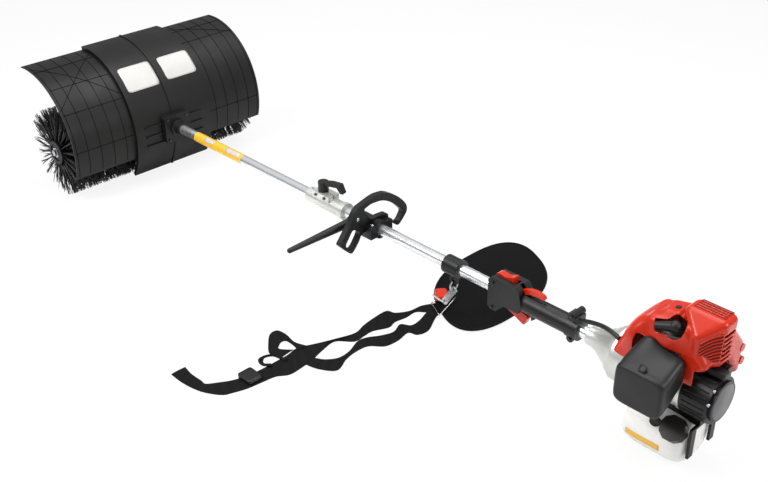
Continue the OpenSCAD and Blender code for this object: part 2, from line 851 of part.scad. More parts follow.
// Gearbox: a case open to the right, its cover, bearings, worm and wheel
module gearbox_housing()
    framed() color(cast_aluminium) difference() {
        union() {
            bar_y(-case_half, case_inner_half, case_r);
            bar_x(barrel_front_x, worm_rear_x, barrel_r);
            bar_x(worm_bearing_x + worm_bearing_w, bracket_x, neck_r);
        }
        bar_y(-case_inner_half, case_inner_half + cut, case_cavity_r);
        bar_y(-case_inner_half - bearing_w, cut, bearing_r);
        bar_y(-case_half - cut, cut, shaft_r + cut);
        bar_x(barrel_front_x + barrel_wall, tube_front_x + cut, worm_bearing_r);
        bar_x(tube_front_x, bracket_x + cut, tube_r);
        screw_bores(cover_screws);
    }

module gearbox_cover()
    framed() color(cast_aluminium) difference() {
        bar_y(case_inner_half, case_half, case_r);
        bar_y(case_inner_half - cut, case_inner_half + bearing_w, bearing_r);
        bar_y(0, case_half + cut, shaft_r + cut);
        bar_x(barrel_front_x - cut, bracket_x, neck_r);
        screw_bores(cover_screws);
    }

module gearbox_bearings()
    framed() color(steel) {
        for (y = [-case_inner_half - bearing_w, case_inner_half])
            difference() {
                bar_y(y, y + bearing_w, bearing_r);
                bar_y(y - cut, y + bearing_w + cut, shaft_r + fit);
            }
        for (x = [-worm_bearing_x, worm_bearing_x])
            difference() {
                bar_x(x - worm_bearing_w / 2, x + worm_bearing_w / 2, worm_bearing_r);
                bar_x(x - worm_bearing_w, x + worm_bearing_w, worm_shaft_r + fit);
            }
    }

module output_shaft()
    framed() color(steel) difference() {
        bar_y(-shaft_end, shaft_end, shaft_r);
        for (side = [-1, 1])
            bar_y(side * shaft_end - bolt_l, side * shaft_end + bolt_l, bolt_r);
    }

// Straight-flanked teeth: each tooth is two root points and two tip points of one pitch
function tooth_point(i, share, r) = let (a = 360 * (i + share) / wheel_teeth + 90) r * [cos(a), sin(a)];
wheel_outline = [
    for (i = [0 : wheel_teeth - 1])
        for (p = [[-tooth_root_share, wheel_root_r], [-tooth_tip_share, wheel_tip_r],
                [tooth_tip_share, wheel_tip_r], [tooth_root_share, wheel_root_r]])
            tooth_point(i, p[0], p[1])
];

module worm_wheel() {
    lead_twist = wheel_w * worm_pitch / (PI * worm_d) / wheel_r * 180 / PI;
    framed() color("#a8864a") difference() {
        union() {
            translate([0, wheel_w / 2, brush_z]) rotate([90, 0, 0]) rotate([0, 0, -lead_twist / 2])
                linear_extrude(wheel_w, twist = -lead_twist, slices = 2) polygon(wheel_outline);
            bar_y(hub_clearance - case_inner_half, case_inner_half - hub_clearance, wheel_hub_r);
        }
        bar_y(-case_half, case_half, shaft_r);
    }
}

worm_outline = [
    for (i = [0 : len(thread_shares) - 1])
        let (a = 360 * thread_shares[i], r = worm_root_r + (worm_tip_r - worm_root_r) * thread_tip_shares[i])
            r * [cos(a), sin(a)]
];

module worm()
    framed() color(steel) difference() {
        union() {
            translate([-worm_l / 2, 0, boom_z]) rotate([0, 90, 0])
                linear_extrude(worm_l, twist = -360 * worm_turns, slices = worm_slices, $fn = 3)
                    polygon(worm_outline);
            bar_x(-worm_bearing_x - worm_bearing_w / 2, worm_rear_x, worm_shaft_r);
            bar_x(worm_bearing_x + worm_bearing_w / 2 + hub_clearance, worm_rear_x,
                drive_r + backing_t);
        }
        bar_x(drive_front_x, worm_rear_x + cut, drive_r);
    }

// Brush: each half is a core on the shaft, with rings of tufts in a backing sleeve
module brush_core(side)
    framed() color(black_plastic) mirror([0, side < 0 ? 1 : 0, 0]) difference() {
        union() {
            bar_y(brush_inner, shaft_end, core_r);
            bar_y(shaft_end, brush_half, hub_r);
        }
        bar_y(brush_inner - cut, shaft_end, shaft_r);
        bar_y(shaft_end - cut, brush_half + cut, bolt_r);
        bar_y(brush_half - hub_recess_t, brush_half + cut, hub_recess_r);
    }

module brush_core_left() brush_core(-1);
module brush_core_right() brush_core(1);

// One ring of tufts as a star whose arms are single strands, cut out over the core
function tuft_star(turn) = [
    for (i = [0 : tufts_per_ring - 1])
        let (a = 360 * (i + turn) / tufts_per_ring, out = [cos(a), sin(a)],
            across = [-sin(a), cos(a)] * tuft_w / 2,
            root = core_r + backing_t - tuft_root)
            for (p = [root * out - across, brush_r * out - across, brush_r * out + across,
                root * out + across]) p
];

module bristles(side)
    framed() color(black_rubber) mirror([0, side < 0 ? 1 : 0, 0]) difference() {
        union() {
            bar_y(tuft_start, tuft_end, core_r + backing_t);
            for (i = [0 : tuft_rings - 1])
                translate([0, 0, brush_z])
                    slab_y(tuft_start + i * tuft_pitch, tuft_start + i * tuft_pitch + tuft_w)
                        polygon(tuft_star((i % 2) / 2));
        }
        bar_y(tuft_start - cut, tuft_end + cut, core_r);
    }

module bristles_left() bristles(-1);
module bristles_right() bristles(1);

module brush_bolts()
    framed() color(steel)
        for (side = [-1, 1])
            mirror([0, side < 0 ? 1 : 0, 0]) {
                seat = brush_half - hub_recess_t;
                bar_y(shaft_end - bolt_l + cut, seat, bolt_r);
                bar_y(seat, seat + washer_t, washer_r);
                translate([0, seat + washer_t, brush_z]) rotate([-90, 0, 0])
                    cylinder(h = bolt_head_t, r = bolt_head_r, $fn = 6);
            }

// Boom: two tubes joined in the coupler, with the drive shaft on bushes inside
module boom_tube(x0, x1)
    framed() color(bright_aluminium) difference() {
        bar_x(x0, x1, tube_r);
        bar_x(x0 - cut, x1 + cut, tube_bore_r);
    }

module lower_tube() boom_tube(tube_front_x, tube_split_x);
module upper_tube() boom_tube(tube_split_x, clutch_x + clutch_neck_l);

module drive_shaft_lower()
    framed() color(steel) bar_x(drive_front_x, tube_split_x, drive_r);
module drive_shaft_upper()
    framed() color(steel) bar_x(tube_split_x, drum_x, drive_r);

bush_l = 22;
bush_shares = [0.06, 0.3, 0.52, 0.74, 0.96];
module shaft_bushes()
    framed() color("#6d6a60")
        for (share = bush_shares) {
            x = tube_front_x + share * (clutch_x - tube_front_x);
            difference() {
                bar_x(x - bush_l / 2, x + bush_l / 2, tube_bore_r);
                bar_x(x - bush_l, x + bush_l, drive_r + fit);
            }
        }

module coupler_body()
    framed() color(cast_aluminium) difference() {
        union() {
            bar_x(coupler_x, coupler_x + coupler_l, coupler_r);
            bar_x(coupler_x + coupler_l - coupler_lip_l, coupler_x + coupler_l, coupler_lip_r);
            block([clamp_block_x, -clamp_block_half, boom_z],
                [clamp_block_x + clamp_block_l, clamp_block_half, boom_z + clamp_block_up]);
        }
        bar_x(coupler_x - cut, coupler_x + coupler_l + cut, tube_r);
        block([coupler_x - cut, -clamp_slot_w / 2, boom_z],
            [clamp_block_x + clamp_block_l + cut, clamp_slot_w / 2, boom_z + clamp_block_up + cut]);
        screw_bores(coupler_screws);
        bar_z(boom_z + clamp_block_up - knob_stud_l - gap, boom_z + clamp_block_up + cut,
            knob_stud_r + fit, knob_x);
    }

// The clamp knob is a hub on a stud with one arm whose tip droops
module coupler_knob() {
    seat = boom_z + clamp_block_up + gap;
    framed() color(black_plastic) {
        bar_z(seat - knob_stud_l, seat, knob_stud_r, knob_x);
        bar_z(seat, seat + knob_hub_h + knob_arm_t, knob_hub_r, knob_x);
        translate([knob_x, 0, seat + knob_hub_h]) rotate([0, 0, knob_turn])
            slab_y(-knob_arm_w / 2, knob_arm_w / 2)
            polygon([[0, cut], [knob_arm_l - knob_arm_t, knob_arm_t / 2], [knob_arm_l, -knob_tip_drop],
                [knob_arm_l + knob_arm_t, -knob_tip_drop], [knob_arm_l, 1.5 * knob_arm_t],
                [knob_arm_l / 2, 1.5 * knob_arm_t], [0, knob_arm_t - cut]]);
    }
}

// Loop handle: a closed loop with a hand gap, a slot in its left leg and a saddle over the tube
module closed_outline(shares, size)
    polygon(smooth_loop([for (p = shares) p * size], 4));

module loop_handle() {
    x0 = handle_x - loop_depth / 2;
    x1 = handle_x + loop_depth / 2;
    rear_x = handle_x + saddle_l / 2;
    framed() color(black_plastic) difference() {
        union() {
            difference() {
                slab_x(x0, x1) translate([0, boom_z]) closed_outline(loop_shares, loop_w);
                slab_x(x0 - cut, x1 + cut) translate([0, boom_z]) closed_outline(hand_gap_shares,
                    loop_w);
                slab_x(x0 - cut, x1 + cut) translate([0, boom_z]) closed_outline(loop_slot_shares,
                    loop_w);
            }
            block([x0, -saddle_half, boom_z], [rear_x, saddle_half, boom_z + saddle_t + saddle_drop]);
            bar_x(x0, rear_x, tube_r + saddle_t);
        }
        bar_x(x0 - cut, rear_x + cut, tube_r);
        block([x0 - cut, -saddle_half, boom_z - loop_w], [rear_x + cut, saddle_half, boom_z]);
        screw_bores(saddle_screws);
    }
}

module handle_clamp() {
    x0 = handle_x - saddle_l - loop_depth / 4;
    x1 = handle_x + saddle_l / 2;
    framed() color(black_plastic) difference() {
        union() {
            bar_x(x0, x1, tube_r + saddle_t);
            block([handle_x - loop_depth / 2, -saddle_half, boom_z - saddle_t - saddle_drop],
                [x1, saddle_half, boom_z]);
            bar_y(-barrier_root_y, 0, barrier_boss_r, handle_x - barrier_back, boom_z + barrier_up);
        }
        bar_x(x0 - cut, x1 + cut, tube_r);
        block([handle_x - loop_depth / 2, -saddle_half - cut, boom_z],
            [x1 + cut, saddle_half + cut, boom_z + loop_w]);
        screw_bores(saddle_screws);
    }
}

module barrier_bar()
    framed() color(black_plastic) translate([handle_x - barrier_back, -barrier_root_y,
        boom_z + barrier_up])
        rotate([90, 0, 0]) {
            cylinder(h = barrier_l - barrier_root_y - barrier_tip_r, r1 = barrier_r,
                r2 = barrier_tip_r);
            translate([0, 0, barrier_l - barrier_root_y - barrier_tip_r]) sphere(r = barrier_tip_r);
        }

module machine_screws()
    framed() color(steel)
        for (s = concat(cover_screws, coupler_screws, saddle_screws, clamp_screws, block_screws,
            bracket_screws))
            screw(s[0], s[1], s[2]);

// Harness hanger on the boom, with the hook chain that hangs from its tab
eye_z = boom_z - hanger_r - tab_l + eye_inset;
ring_z = eye_z - eye_r + wire_r + gap - ring_r;
hook_eye_z = ring_z - ring_r - eye_r + wire_r + gap;

module hanger_clamp()
    framed() color(black_plastic) difference() {
        union() {
            bar_x(hanger_x - hanger_l / 2, hanger_x + hanger_l / 2, hanger_r);
            block([hanger_x - tab_w / 2, -tab_half, boom_z - hanger_r - tab_l],
                [hanger_x + tab_w / 2, tab_half, boom_z]);
        }
        bar_x(hanger_x - hanger_l, hanger_x + hanger_l, tube_r);
        bar_y(-tab_half - cut, tab_half + cut, eye_r, hanger_x, eye_z);
    }

// A hook plate leaning forward, seen from the side: round ends with an eye in each
module hook_outline()
    rotate([0, 0, -hook_lean]) difference() {
        union() {
            circle(d = hook_w);
            translate([-hook_w / 2, -hook_l]) square([hook_w, hook_l]);
            translate([0, -hook_l]) circle(d = hook_w);
        }
        circle(r = eye_r);
        translate([0, -hook_l]) circle(r = eye_r);
    }

hook_foot = [hanger_x - hook_l * sin(hook_lean), 0, hook_eye_z - hook_l * cos(hook_lean)];
buckle_at = [harness_x - buckle_w / 2, harness_y + buckle_w, buckle_rest_share * pad_t + gap];
wire_top = [hook_foot.x, 0, hook_foot.z - eye_r + wire_r + gap];
slot_at = buckle_at + [0, 0, buckle_t / 2];

module harness_hardware()
    framed() color(steel) {
        translate([hanger_x, 0, ring_z]) rotate([0, 90, 0])
            rotate_extrude($fn = hull_fn) translate([ring_r, 0]) circle(r = wire_r, $fn = wire_sides);
        translate([hanger_x, 0, hook_eye_z]) slab_y(-hook_t / 2, hook_t / 2) hook_outline();
        top = [0, hook_t + wire_r, 0];
        low = [-sin(buckle_turn), cos(buckle_turn), 0] * triangle_side / 2;
        swept_tube([slot_at - low, slot_at, slot_at + low, wire_top + top, wire_top - top], wire_r,
            wire_sides, true);
        adjuster = [harness_x + adjuster_x_share * harness_l, harness_y + adjuster_y_share * harness_l,
            webbing_t];
        block(adjuster - [webbing_w / 2, adjuster_l / 2, 0],
            adjuster + [webbing_w / 2, adjuster_l / 2, adjuster_t]);
    }

module quick_release()
    framed() color(orange_red) translate(buckle_at) rotate([0, 0, buckle_turn]) difference() {
        soft_block([-buckle_l / 2, -buckle_w / 2, 0], [buckle_l / 2, buckle_w / 2, buckle_t],
            buckle_t / 2, backing_t);
        bar_y(-buckle_w, buckle_w, wire_r + gap, 0, buckle_t / 2);
    }

// Hip pad: rings of the outline, drawn in at the waist, raised to a crown and flat underneath
module hip_pad() {
    rings = len(pad_ring_shares);
    points = concat(
        [[0, 0, pad_t]],
        [for (k = [0 : rings - 1], p = pad_outline) [p.x * pad_ring_shares[k], p.y * pad_ring_shares[k],
            pad_t * pad_rise_shares[k]]],
        [[0, 0, 0]]
    );
    function at(k, i) = 1 + k * pad_points + i % pad_points;
    faces = concat(
        [for (i = [0 : pad_points - 1]) [0, at(0, i + 1), at(0, i)]],
        [for (k = [0 : rings - 2], i = [0 : pad_points - 1], f = [0, 1])
            f == 0 ? [at(k, i), at(k, i + 1), at(k + 1, i)] : [at(k, i + 1), at(k + 1, i + 1),
                at(k + 1, i)]],
        [for (i = [0 : pad_points - 1]) [len(points) - 1, at(rings - 1, i), at(rings - 1, i + 1)]]
    );
    framed() color(black_cloth) translate([pad_x, pad_y, 0]) polyhedron(points, faces);
}

module strap(shares, width)
    linear_extrude(webbing_t) polygon(band_outline(smooth_run([for (p = shares) p * harness_l], 4),
        width));

module harness_webbing()
    framed() color(black_cloth) difference() {
        translate([harness_x, harness_y]) {
            strap(tail_shares, webbing_w * strand_w_share);
            strap(upper_strand_shares, webbing_w * strand_w_share);
            strap(lower_strand_shares, webbing_w * strand_w_share);
            strap(side_loop_shares, webbing_w * loop_w_share);
            strap(small_loop_shares, webbing_w * loop_w_share);
            linear_extrude(webbing_t) polygon([for (p = patch_shares) p * harness_l]);
        }
        translate([pad_x, pad_y, -cut]) linear_extrude(webbing_t + 2 * cut)
            polygon(pad_outline * (1 + 2 * gap / pad_w));
    }

// Rear grip: one body split into two shells at the middle, hollow round the tube
module grip_form() {
    slab_y(-grip_half, grip_half) translate([grip_x, boom_z])
        polygon([[0, block_corner - grip_down], [block_corner, -grip_down],
            [block_slope_shares[0] * grip_block_l, -grip_down],
            [block_slope_shares[1] * grip_block_l, -block_rear_down],
            [grip_block_l, -block_rear_down], [grip_block_l + block_corner, 0],
            [grip_block_l, grip_up - block_corner], [grip_block_l - block_corner, grip_up],
            [block_corner, grip_up], [0, grip_up - block_corner]]);
    slab_y(-lug_half, lug_half) translate([grip_x, boom_z])
        polygon([for (p = lug_shares) [p.x * grip_block_l, p.y * grip_down]]);
    bar_x(grip_x + grip_block_l - block_corner, grip_x + grip_l - clamp_l / 2, grip_r);
    bar_x(grip_x + grip_l - clamp_l, grip_x + grip_l, grip_r + grip_wall);
    block([grip_x + grip_l - clamp_l, -clamp_half, boom_z - clamp_down],
        [grip_x + grip_l, clamp_half, boom_z + clamp_up]);
    for (z = [-clamp_down, clamp_up])
        bar_y(-clamp_boss_half, clamp_boss_half, clamp_boss_r, grip_x + grip_l - clamp_l / 2,
            boom_z + z);
}

module grip_hollow() {
    inner = grip_half - grip_wall;
    bar_x(grip_x - cut, grip_x + grip_l + cut, tube_r);
    for (z = [[grip_wall - block_rear_down, -tube_r - grip_wall],
        [tube_r + grip_wall, grip_up - switch_floor - grip_wall]])
        block([grip_x + 2 * grip_screw_inset, -inner, boom_z + z[0]],
            [grip_x + grip_block_l - grip_wall, inner, boom_z + z[1]]);
    block([grip_x + trigger_slot_shares[0] * grip_block_l, -lever_slot_half, boom_z - grip_down - cut],
        [grip_x + trigger_slot_shares[1] * grip_block_l, lever_slot_half, boom_z]);
    block([grip_x + lockout_slot_shares[0] * grip_block_l, -lockout_slot_half, boom_z],
        [grip_x + lockout_slot_shares[1] * grip_block_l, lockout_slot_half, boom_z + grip_up + cut]);
    block([grip_x + switch_x - gap, -switch_half - gap, boom_z + grip_up - switch_floor],
        [grip_x + switch_x + switch_l + switch_travel + gap, switch_half + gap,
            boom_z + grip_up + cut]);
}

module grip_bosses(from_y, to_y)
    for (p = [trigger_pivot, lockout_pivot])
        bar_y(from_y, to_y, lever_boss_r, grip_x + p.x, boom_z + p.y);

module pin_bars()
    for (p = [trigger_pivot, lockout_pivot])
        bar_y(grip_wall - grip_half, grip_half - grip_wall, lever_pin_r, grip_x + p.x, boom_z + p.y);

module grip_shell(side)
    framed() color(black_plastic) difference() {
        intersection() {
            union() {
                difference() {
                    grip_form();
                    grip_hollow();
                }
                grip_bosses(lever_slot_half, grip_half);
                grip_bosses(-grip_half, -lever_slot_half);
            }
            block([grip_x, side < 0 ? -grip_half : 0, 0],
                [grip_x + grip_l, side < 0 ? 0 : grip_half, boom_z + loop_w]);
        }
        screw_bores(concat(clamp_screws, block_screws));
        pin_bars();
    }

module grip_shell_left() grip_shell(-1);
module grip_shell_right() grip_shell(1);

// Lever outlines are shares of the block's length and depth, from the grip's front on the boom's axis
module lever(half, shares, pivot, boss)
    difference() {
        union() {
            slab_y(-half, half) translate([grip_x, boom_z])
                polygon([for (p = shares) [p.x * grip_block_l, p.y * grip_down]]);
            bar_y(-half, half, boss, grip_x + pivot.x, boom_z + pivot.y);
        }
        bar_y(-half - cut, half + cut, lever_pin_r + fit, grip_x + pivot.x, boom_z + pivot.y);
    }

module throttle_trigger()
    framed() color(orange_red) lever(trigger_half, trigger_shares, trigger_pivot, lever_boss_r);

module lockout_lever()
    framed() color(orange_red) lever(lockout_half, lockout_shares, lockout_pivot, lockout_boss_r);

module stop_switch() {
    floor_z = gap - switch_floor;
    framed() color(orange_red) slab_y(-switch_half, switch_half)
        translate([grip_x + switch_x, boom_z + grip_up])
            polygon([[switch_l, floor_z], [0, floor_z],
                for (p = switch_shares) [p.x * switch_l, p.y * switch_rise]]);
}

module lever_pins()
    framed() color(steel) pin_bars();

// A tube swept along a run: each ring is square to the run at its point
module swept_tube(run, r, sides, closed = false) {
    n = len(run);
    last = closed ? n - 1 : n - 2;
    function near(i) = closed ? run[(i + n) % n] : run[max(0, min(i, n - 1))];
    points = [for (i = [0 : n - 1])
        let (d = near(i + 1) - near(i - 1), side = cross(d, [0, 0.3, 1]), a = side / norm(side),
            b = cross(d / norm(d), a))
            for (k = [0 : sides - 1]) run[i] + r * (a * cos(360 * k / sides) + b * sin(360 * k / sides))];
    walls = [for (i = [0 : last], k = [0 : sides - 1], f = [0, 1])
        let (j = (k + 1) % sides, here = i * sides, next = (i + 1) % n * sides)
            f == 0 ? [here + k, next + k, here + j] : [here + j, next + k, next + j]];
    ends = [[for (k = [0 : sides - 1]) k], [for (k = [sides - 1 : -1 : 0]) (n - 1) * sides + k]];
    polyhedron(points, closed ? walls : concat(walls, ends));
}

module throttle_conduit()
    framed() color(black_rubber) translate([grip_x + grip_l, 0, boom_z])
        swept_tube(smooth_run(conduit_route, 2), conduit_r, conduit_sides);

// Clutch: a cast bell on the boom's end, the drum on the drive shaft and shoes on the flywheel
module clutch_housing()
    framed() color(cast_aluminium) difference() {
        spun_x(clutch_x, concat([[0, 0], [clutch_neck_r, 0]],
            [for (p = clutch_profile_shares) [p.y * clutch_r, p.x * clutch_l]], [[0, clutch_l]]));
        bar_x(clutch_x - cut, clutch_x + clutch_neck_l, tube_r);
        bar_x(clutch_x, drum_x + drum_l, drum_hub_r + fit);
        bar_x(drum_x - drum_gap, fan_x + cut, drum_r + drum_gap);
    }

module clutch_drum()
    framed() color(steel) difference() {
        union() {
            bar_x(drum_x, drum_x + drum_l, drum_r);
            bar_x(drum_x - drum_hub_l, drum_x, drum_hub_r);
        }
        bar_x(drum_x + drum_t, drum_x + drum_l + cut, drum_r - drum_t);
        bar_x(drum_x - drum_hub_l - cut, drum_x, drive_r);
    }

module clutch_shoes() {
    x0 = drum_x + drum_t + drum_gap;
    framed() color("#7c766c") difference() {
        bar_x(x0, x0 + shoe_l, shoe_r);
        bar_x(x0 - cut, x0 + shoe_l + cut, carrier_r);
        block([x0 - cut, -shoe_split / 2, 0], [x0 + shoe_l + cut, shoe_split / 2, boom_z + clutch_r]);
        bar_x(x0 - cut, x0 + shoe_l + cut, shoe_r - shoe_t);
    }
}

// Flywheel with fan blades, and the carrier that holds the shoes
module flywheel() {
    x0 = fan_x + flywheel_gap;
    shoe_x = drum_x + drum_t + drum_gap;
    framed() color(cast_aluminium) difference() {
        union() {
            bar_x(x0 + blade_l, x0 + flywheel_l, flywheel_r);
            bar_x(x0, x0 + flywheel_l, flywheel_hub_r);
            bar_x(shoe_x, x0, carrier_r);
            bar_x(shoe_x + shoe_l, x0, shoe_r - rim_t);
            block([shoe_x, -shoe_split / 2, boom_z + gap - shoe_r],
                [x0, shoe_split / 2, boom_z + shoe_r - gap]);
            for (i = [0 : blade_count - 1])
                translate([x0, 0, boom_z]) rotate([360 * i / blade_count, 0, 0])
                    translate([0, flywheel_hub_r - cut, -blade_t / 2])
                        cube([flywheel_l, flywheel_r - flywheel_hub_r + cut - rim_t / 4, blade_t]);
        }
        bar_x(shoe_x - cut, x0 + flywheel_l + cut, journal_r);
    }
}

// Crankcase with the fan housing in front, open at the top for the cylinder
module crankcase()
    framed() color(cast_aluminium) difference() {
        union() {
            bar_x(fan_x, case_x, fan_r);
            bar_x(case_x, starter_x, crankcase_r);
            bar_x(starter_x - case_rear_t / 2, starter_x, starter_r);
            block([chamber_x - web_t / 2, -deck_half, boom_z],
                [case_rear_x + web_t / 2, deck_half, deck_z]);
        }
        bar_x(fan_x - cut, case_x - fan_t, fan_r - fan_t);
        bar_x(fan_x, starter_x + cut, journal_r + fit);
        bar_x(chamber_x, case_rear_x, chamber_r);
        bar_z(boom_z, deck_z + cut, cylinder_bore / 2, cylinder_x);
        block([chamber_x - web_t, -crankcase_r, deck_z],
            [case_rear_x + web_t / 2, crankcase_r, deck_z + crankcase_r]);
    }

module crankshaft() {
    x0 = drum_x + drum_t + drum_gap;
    web_x = cylinder_x - rod_space / 2 - web_t;
    framed() color(steel) {
        bar_x(x0, web_x, journal_r);
        bar_x(web_x, web_x + web_t, web_r);
        bar_x(cylinder_x + rod_space / 2, cylinder_x + rod_space / 2 + web_t, web_r);
        bar_x(cylinder_x + rod_space / 2 + web_t, starter_x + pawl_l, journal_r);
        bar_x(starter_x + gap, starter_x + pawl_l, pawl_r);
    }
}

module piston()
    framed() color("#c3c4c2") difference() {
        bar_z(pin_z - piston_down, pin_z + piston_up, piston_r, cylinder_x);
        bar_z(pin_z - piston_down - cut, pin_z + piston_up - piston_t, piston_r - piston_t, cylinder_x);
        bar_x(cylinder_x - cylinder_bore, cylinder_x + cylinder_bore, wrist_r, 0, pin_z);
    }

// The rod carries both pins, so that the webs can turn past the open end of the crankpin
module connecting_rod()
    framed() color(steel) {
        pin_half = piston_r - 2 * piston_t / 3;
        bar_x(cylinder_x - pin_half, cylinder_x + pin_half, wrist_r, 0, pin_z);
        bar_x(cylinder_x - rod_t / 2, cylinder_x + rod_t / 2, wrist_r + eye_wall, 0, pin_z);
        bar_x(cylinder_x - rod_t / 2, cylinder_x + rod_t / 2, crankpin_r + eye_wall, 0,
            boom_z - crank_r);
        bar_x(cylinder_x + gap - rod_space / 2, cylinder_x - gap + rod_space / 2, crankpin_r, 0,
            boom_z - crank_r);
        block([cylinder_x - rod_t / 3, -rod_web / 2, boom_z - crank_r],
            [cylinder_x + rod_t / 3, rod_web / 2, pin_z]);
    }

fin_pitch = (bore_top_z + head_t - deck_z - flange_t - fin_t) / fin_count;
plug_turn = [plug_tilt, 0, 0];
plug_seat = [cylinder_x + plug_back, -plug_back, bore_top_z + plug_back];

module cylinder_port(side)
    bar_y(side < 0 ? -port_reach : 0, side < 0 ? 0 : exhaust_reach, port_r, cylinder_x, intake_z);

// Cylinder and head: a finned barrel with its intake to the left and its exhaust to the right
module cylinder_form() {
    bar_z(deck_z, bore_top_z + head_t, cylinder_bore / 2 + barrel_t, cylinder_x);
    block([cylinder_x - flange_half + web_t / 2, -flange_half, deck_z],
        [cylinder_x + flange_half - web_t / 2, flange_half, deck_z + flange_t]);
    for (i = [1 : fin_count])
        bar_z(deck_z + flange_t + i * fin_pitch, deck_z + flange_t + i * fin_pitch + fin_t, fin_r,
            cylinder_x);
    cylinder_port(-1);
    cylinder_port(1);
}

module engine_cylinder()
    framed() color(cast_aluminium) difference() {
        cylinder_form();
        bar_z(deck_z - cut, bore_top_z, cylinder_bore / 2, cylinder_x);
        translate(plug_seat) rotate(plug_turn) {
            translate([0, 0, -plug_thread_l]) cylinder(h = 2 * plug_thread_l, r = plug_thread_r);
            cylinder(h = 2 * fin_r, r = boot_r + cut);
        }
        bar_y(-port_reach - cut, exhaust_reach + cut, port_r / 2, cylinder_x, intake_z);
    }

module spark_plug()
    framed() color(bright_aluminium) translate(plug_seat) rotate(plug_turn) {
        translate([0, 0, -plug_thread_l / 2]) cylinder(h = plug_thread_l / 2, r = plug_thread_r);
        cylinder(h = plug_hex_l, r = plug_hex_r, $fn = 6);
        cylinder(h = plug_hex_l + plug_tip_l, r = plug_tip_r);
    }

// Rubber boot: a cap over the plug with a cable stub to one side
module spark_boot()
    framed() color(black_rubber) translate(plug_seat) rotate(plug_turn) translate([0, 0,
        plug_hex_l]) difference() {
        union() {
            cylinder(h = boot_l, r = boot_r);
            translate([0, 0, boot_l]) scale(1) sphere(r = boot_r);
            translate([0, 0, boot_l]) rotate([0, 90, boot_stub_turn]) cylinder(h = boot_stub_l,
                r1 = boot_r - cut, r2 = boot_stub_r);
        }
        translate([0, 0, -cut]) cylinder(h = plug_tip_l + cut, r = plug_tip_r);
    }

// Engine cover: a shell over fan, cylinder and starter top, rising to a louvred block at the rear
module cover_corner(x, y, z, inset)
    translate([x, y, z]) sphere(r = cover_round - inset, $fn = hull_fn);

module cover_form(inset) {
    r = cover_round;
    rear_x0 = cover_rear_x - cover_rear_l;
    hull() {
        bar_x(cover_x + inset, cover_x + cover_front_l, cover_front_r - inset, $fn = 2 * hull_fn);
        for (y = [r - cover_left, cover_right - r]) {
            cover_corner(rear_x0 + cover_front_l / 2, y, cover_shoulder_z - r, inset);
            cover_corner(rear_x0 - cover_front_l, y * 0.8, cover_shoulder_z - 2 * r, inset);
            cover_corner(cover_rear_x - cover_front_l / 2, y, cover_rear_z + r, inset);
        }
    }
    hull() {
        for (x = [rear_x0 + r, cover_rear_x - r], y = [r - cover_rear_left, cover_rear_right - r],
                z = [cover_rear_z + r, cover_top_z - r])
            cover_corner(x, y, z, inset);
        for (z = [cover_rear_z + r, cover_shoulder_z - r])
            cover_corner(cover_rear_x - cover_chamfer_l, r - cover_left, z, inset);
    }
}

// The cover's right skirt, which comes down beside the starter
module skirt_form(inset) {
    r = cover_round;
    hull()
        for (x = [cover_rear_x - skirt_l + r, cover_rear_x - r]) {
            cover_corner(x, cover_rear_right - r, cover_rear_z + 2 * r, inset);
            cover_corner(x, cover_rear_right - r, cover_top_z - 3 * r, inset);
            cover_corner(x, skirt_right - r, skirt_low_z + r, inset);
            cover_corner(x, skirt_right - r, skirt_high_z - r, inset);
        }
}

module engine_cover()
    framed() color(orange_red) {
        cover_shell();
        difference() {
            skirt_form(0);
            skirt_form(cover_t);
            cover_form(cover_t);
        }
        block([cheek_x, cut - port_reach, cheek_low_z],
            [cheek_x + cheek_l, cut + cover_t - port_reach, cheek_high_z]);
    }

module cover_shell()
    difference() {
        cover_form(0);
        cover_form(cover_t);
        block([0, -fan_r * 2, 0], [engine_rear_x, fan_r * 2, cover_low_z]);
        block([cover_x + cover_front_l, -fan_r * 2, 0], [engine_rear_x, fan_r * 2, cover_rear_z]);
        block([filter_x - filter_t, -fan_r * 2, 0],
            [engine_rear_x, cut - port_reach, intake_z + carb_h]);
        block([cylinder_x - muffler_l / 2 - cover_t, exhaust_reach - cut, 0],
            [engine_rear_x, fan_r * 2, muffler_z + muffler_h + cover_t]);
        bar_x(cover_x - cut, cover_x + cover_front_l, fan_r + cover_gap);
        bar_y(-2 * fan_r, 2 * fan_r, port_r + cover_t, cylinder_x, intake_z);
        translate(plug_seat) rotate(plug_turn) {
            cylinder(h = boot_l * 3, r = boot_hole_r);
            translate([0, 0, plug_hex_l + boot_l]) rotate([0, 90, boot_stub_turn])
                cylinder(h = boot_stub_l + cover_t, r = boot_r + cover_t);
        }
        for (i = [0 : louvre_count - 1])
            block([cover_rear_x - 2 * cover_t, louvre_inset - cover_rear_left,
                cover_rear_z + louvre_inset + i * louvre_pitch],
                [cover_rear_x + cut, cover_rear_right - louvre_inset,
                    cover_rear_z + louvre_inset + i * louvre_pitch + louvre_t]);
    }

// Carburettor on the intake, with a horn that carries the filter cover
module carburettor() {
    front = -filter_inner - filter_w + filter_t + gap;
    framed() color(cast_aluminium) difference() {
        union() {
            block([cylinder_x - carb_l / 2, -port_reach - carb_depth, intake_z - carb_h / 2],
                [cylinder_x + carb_l / 2, -port_reach, intake_z + carb_h / 2 - filter_t]);
            bar_y(front, -port_reach, horn_r, cylinder_x, intake_z - 2 * filter_t);
        }
        bar_y(front - cut, cut - port_reach, port_r, cylinder_x, intake_z - 2 * filter_t);
    }
}

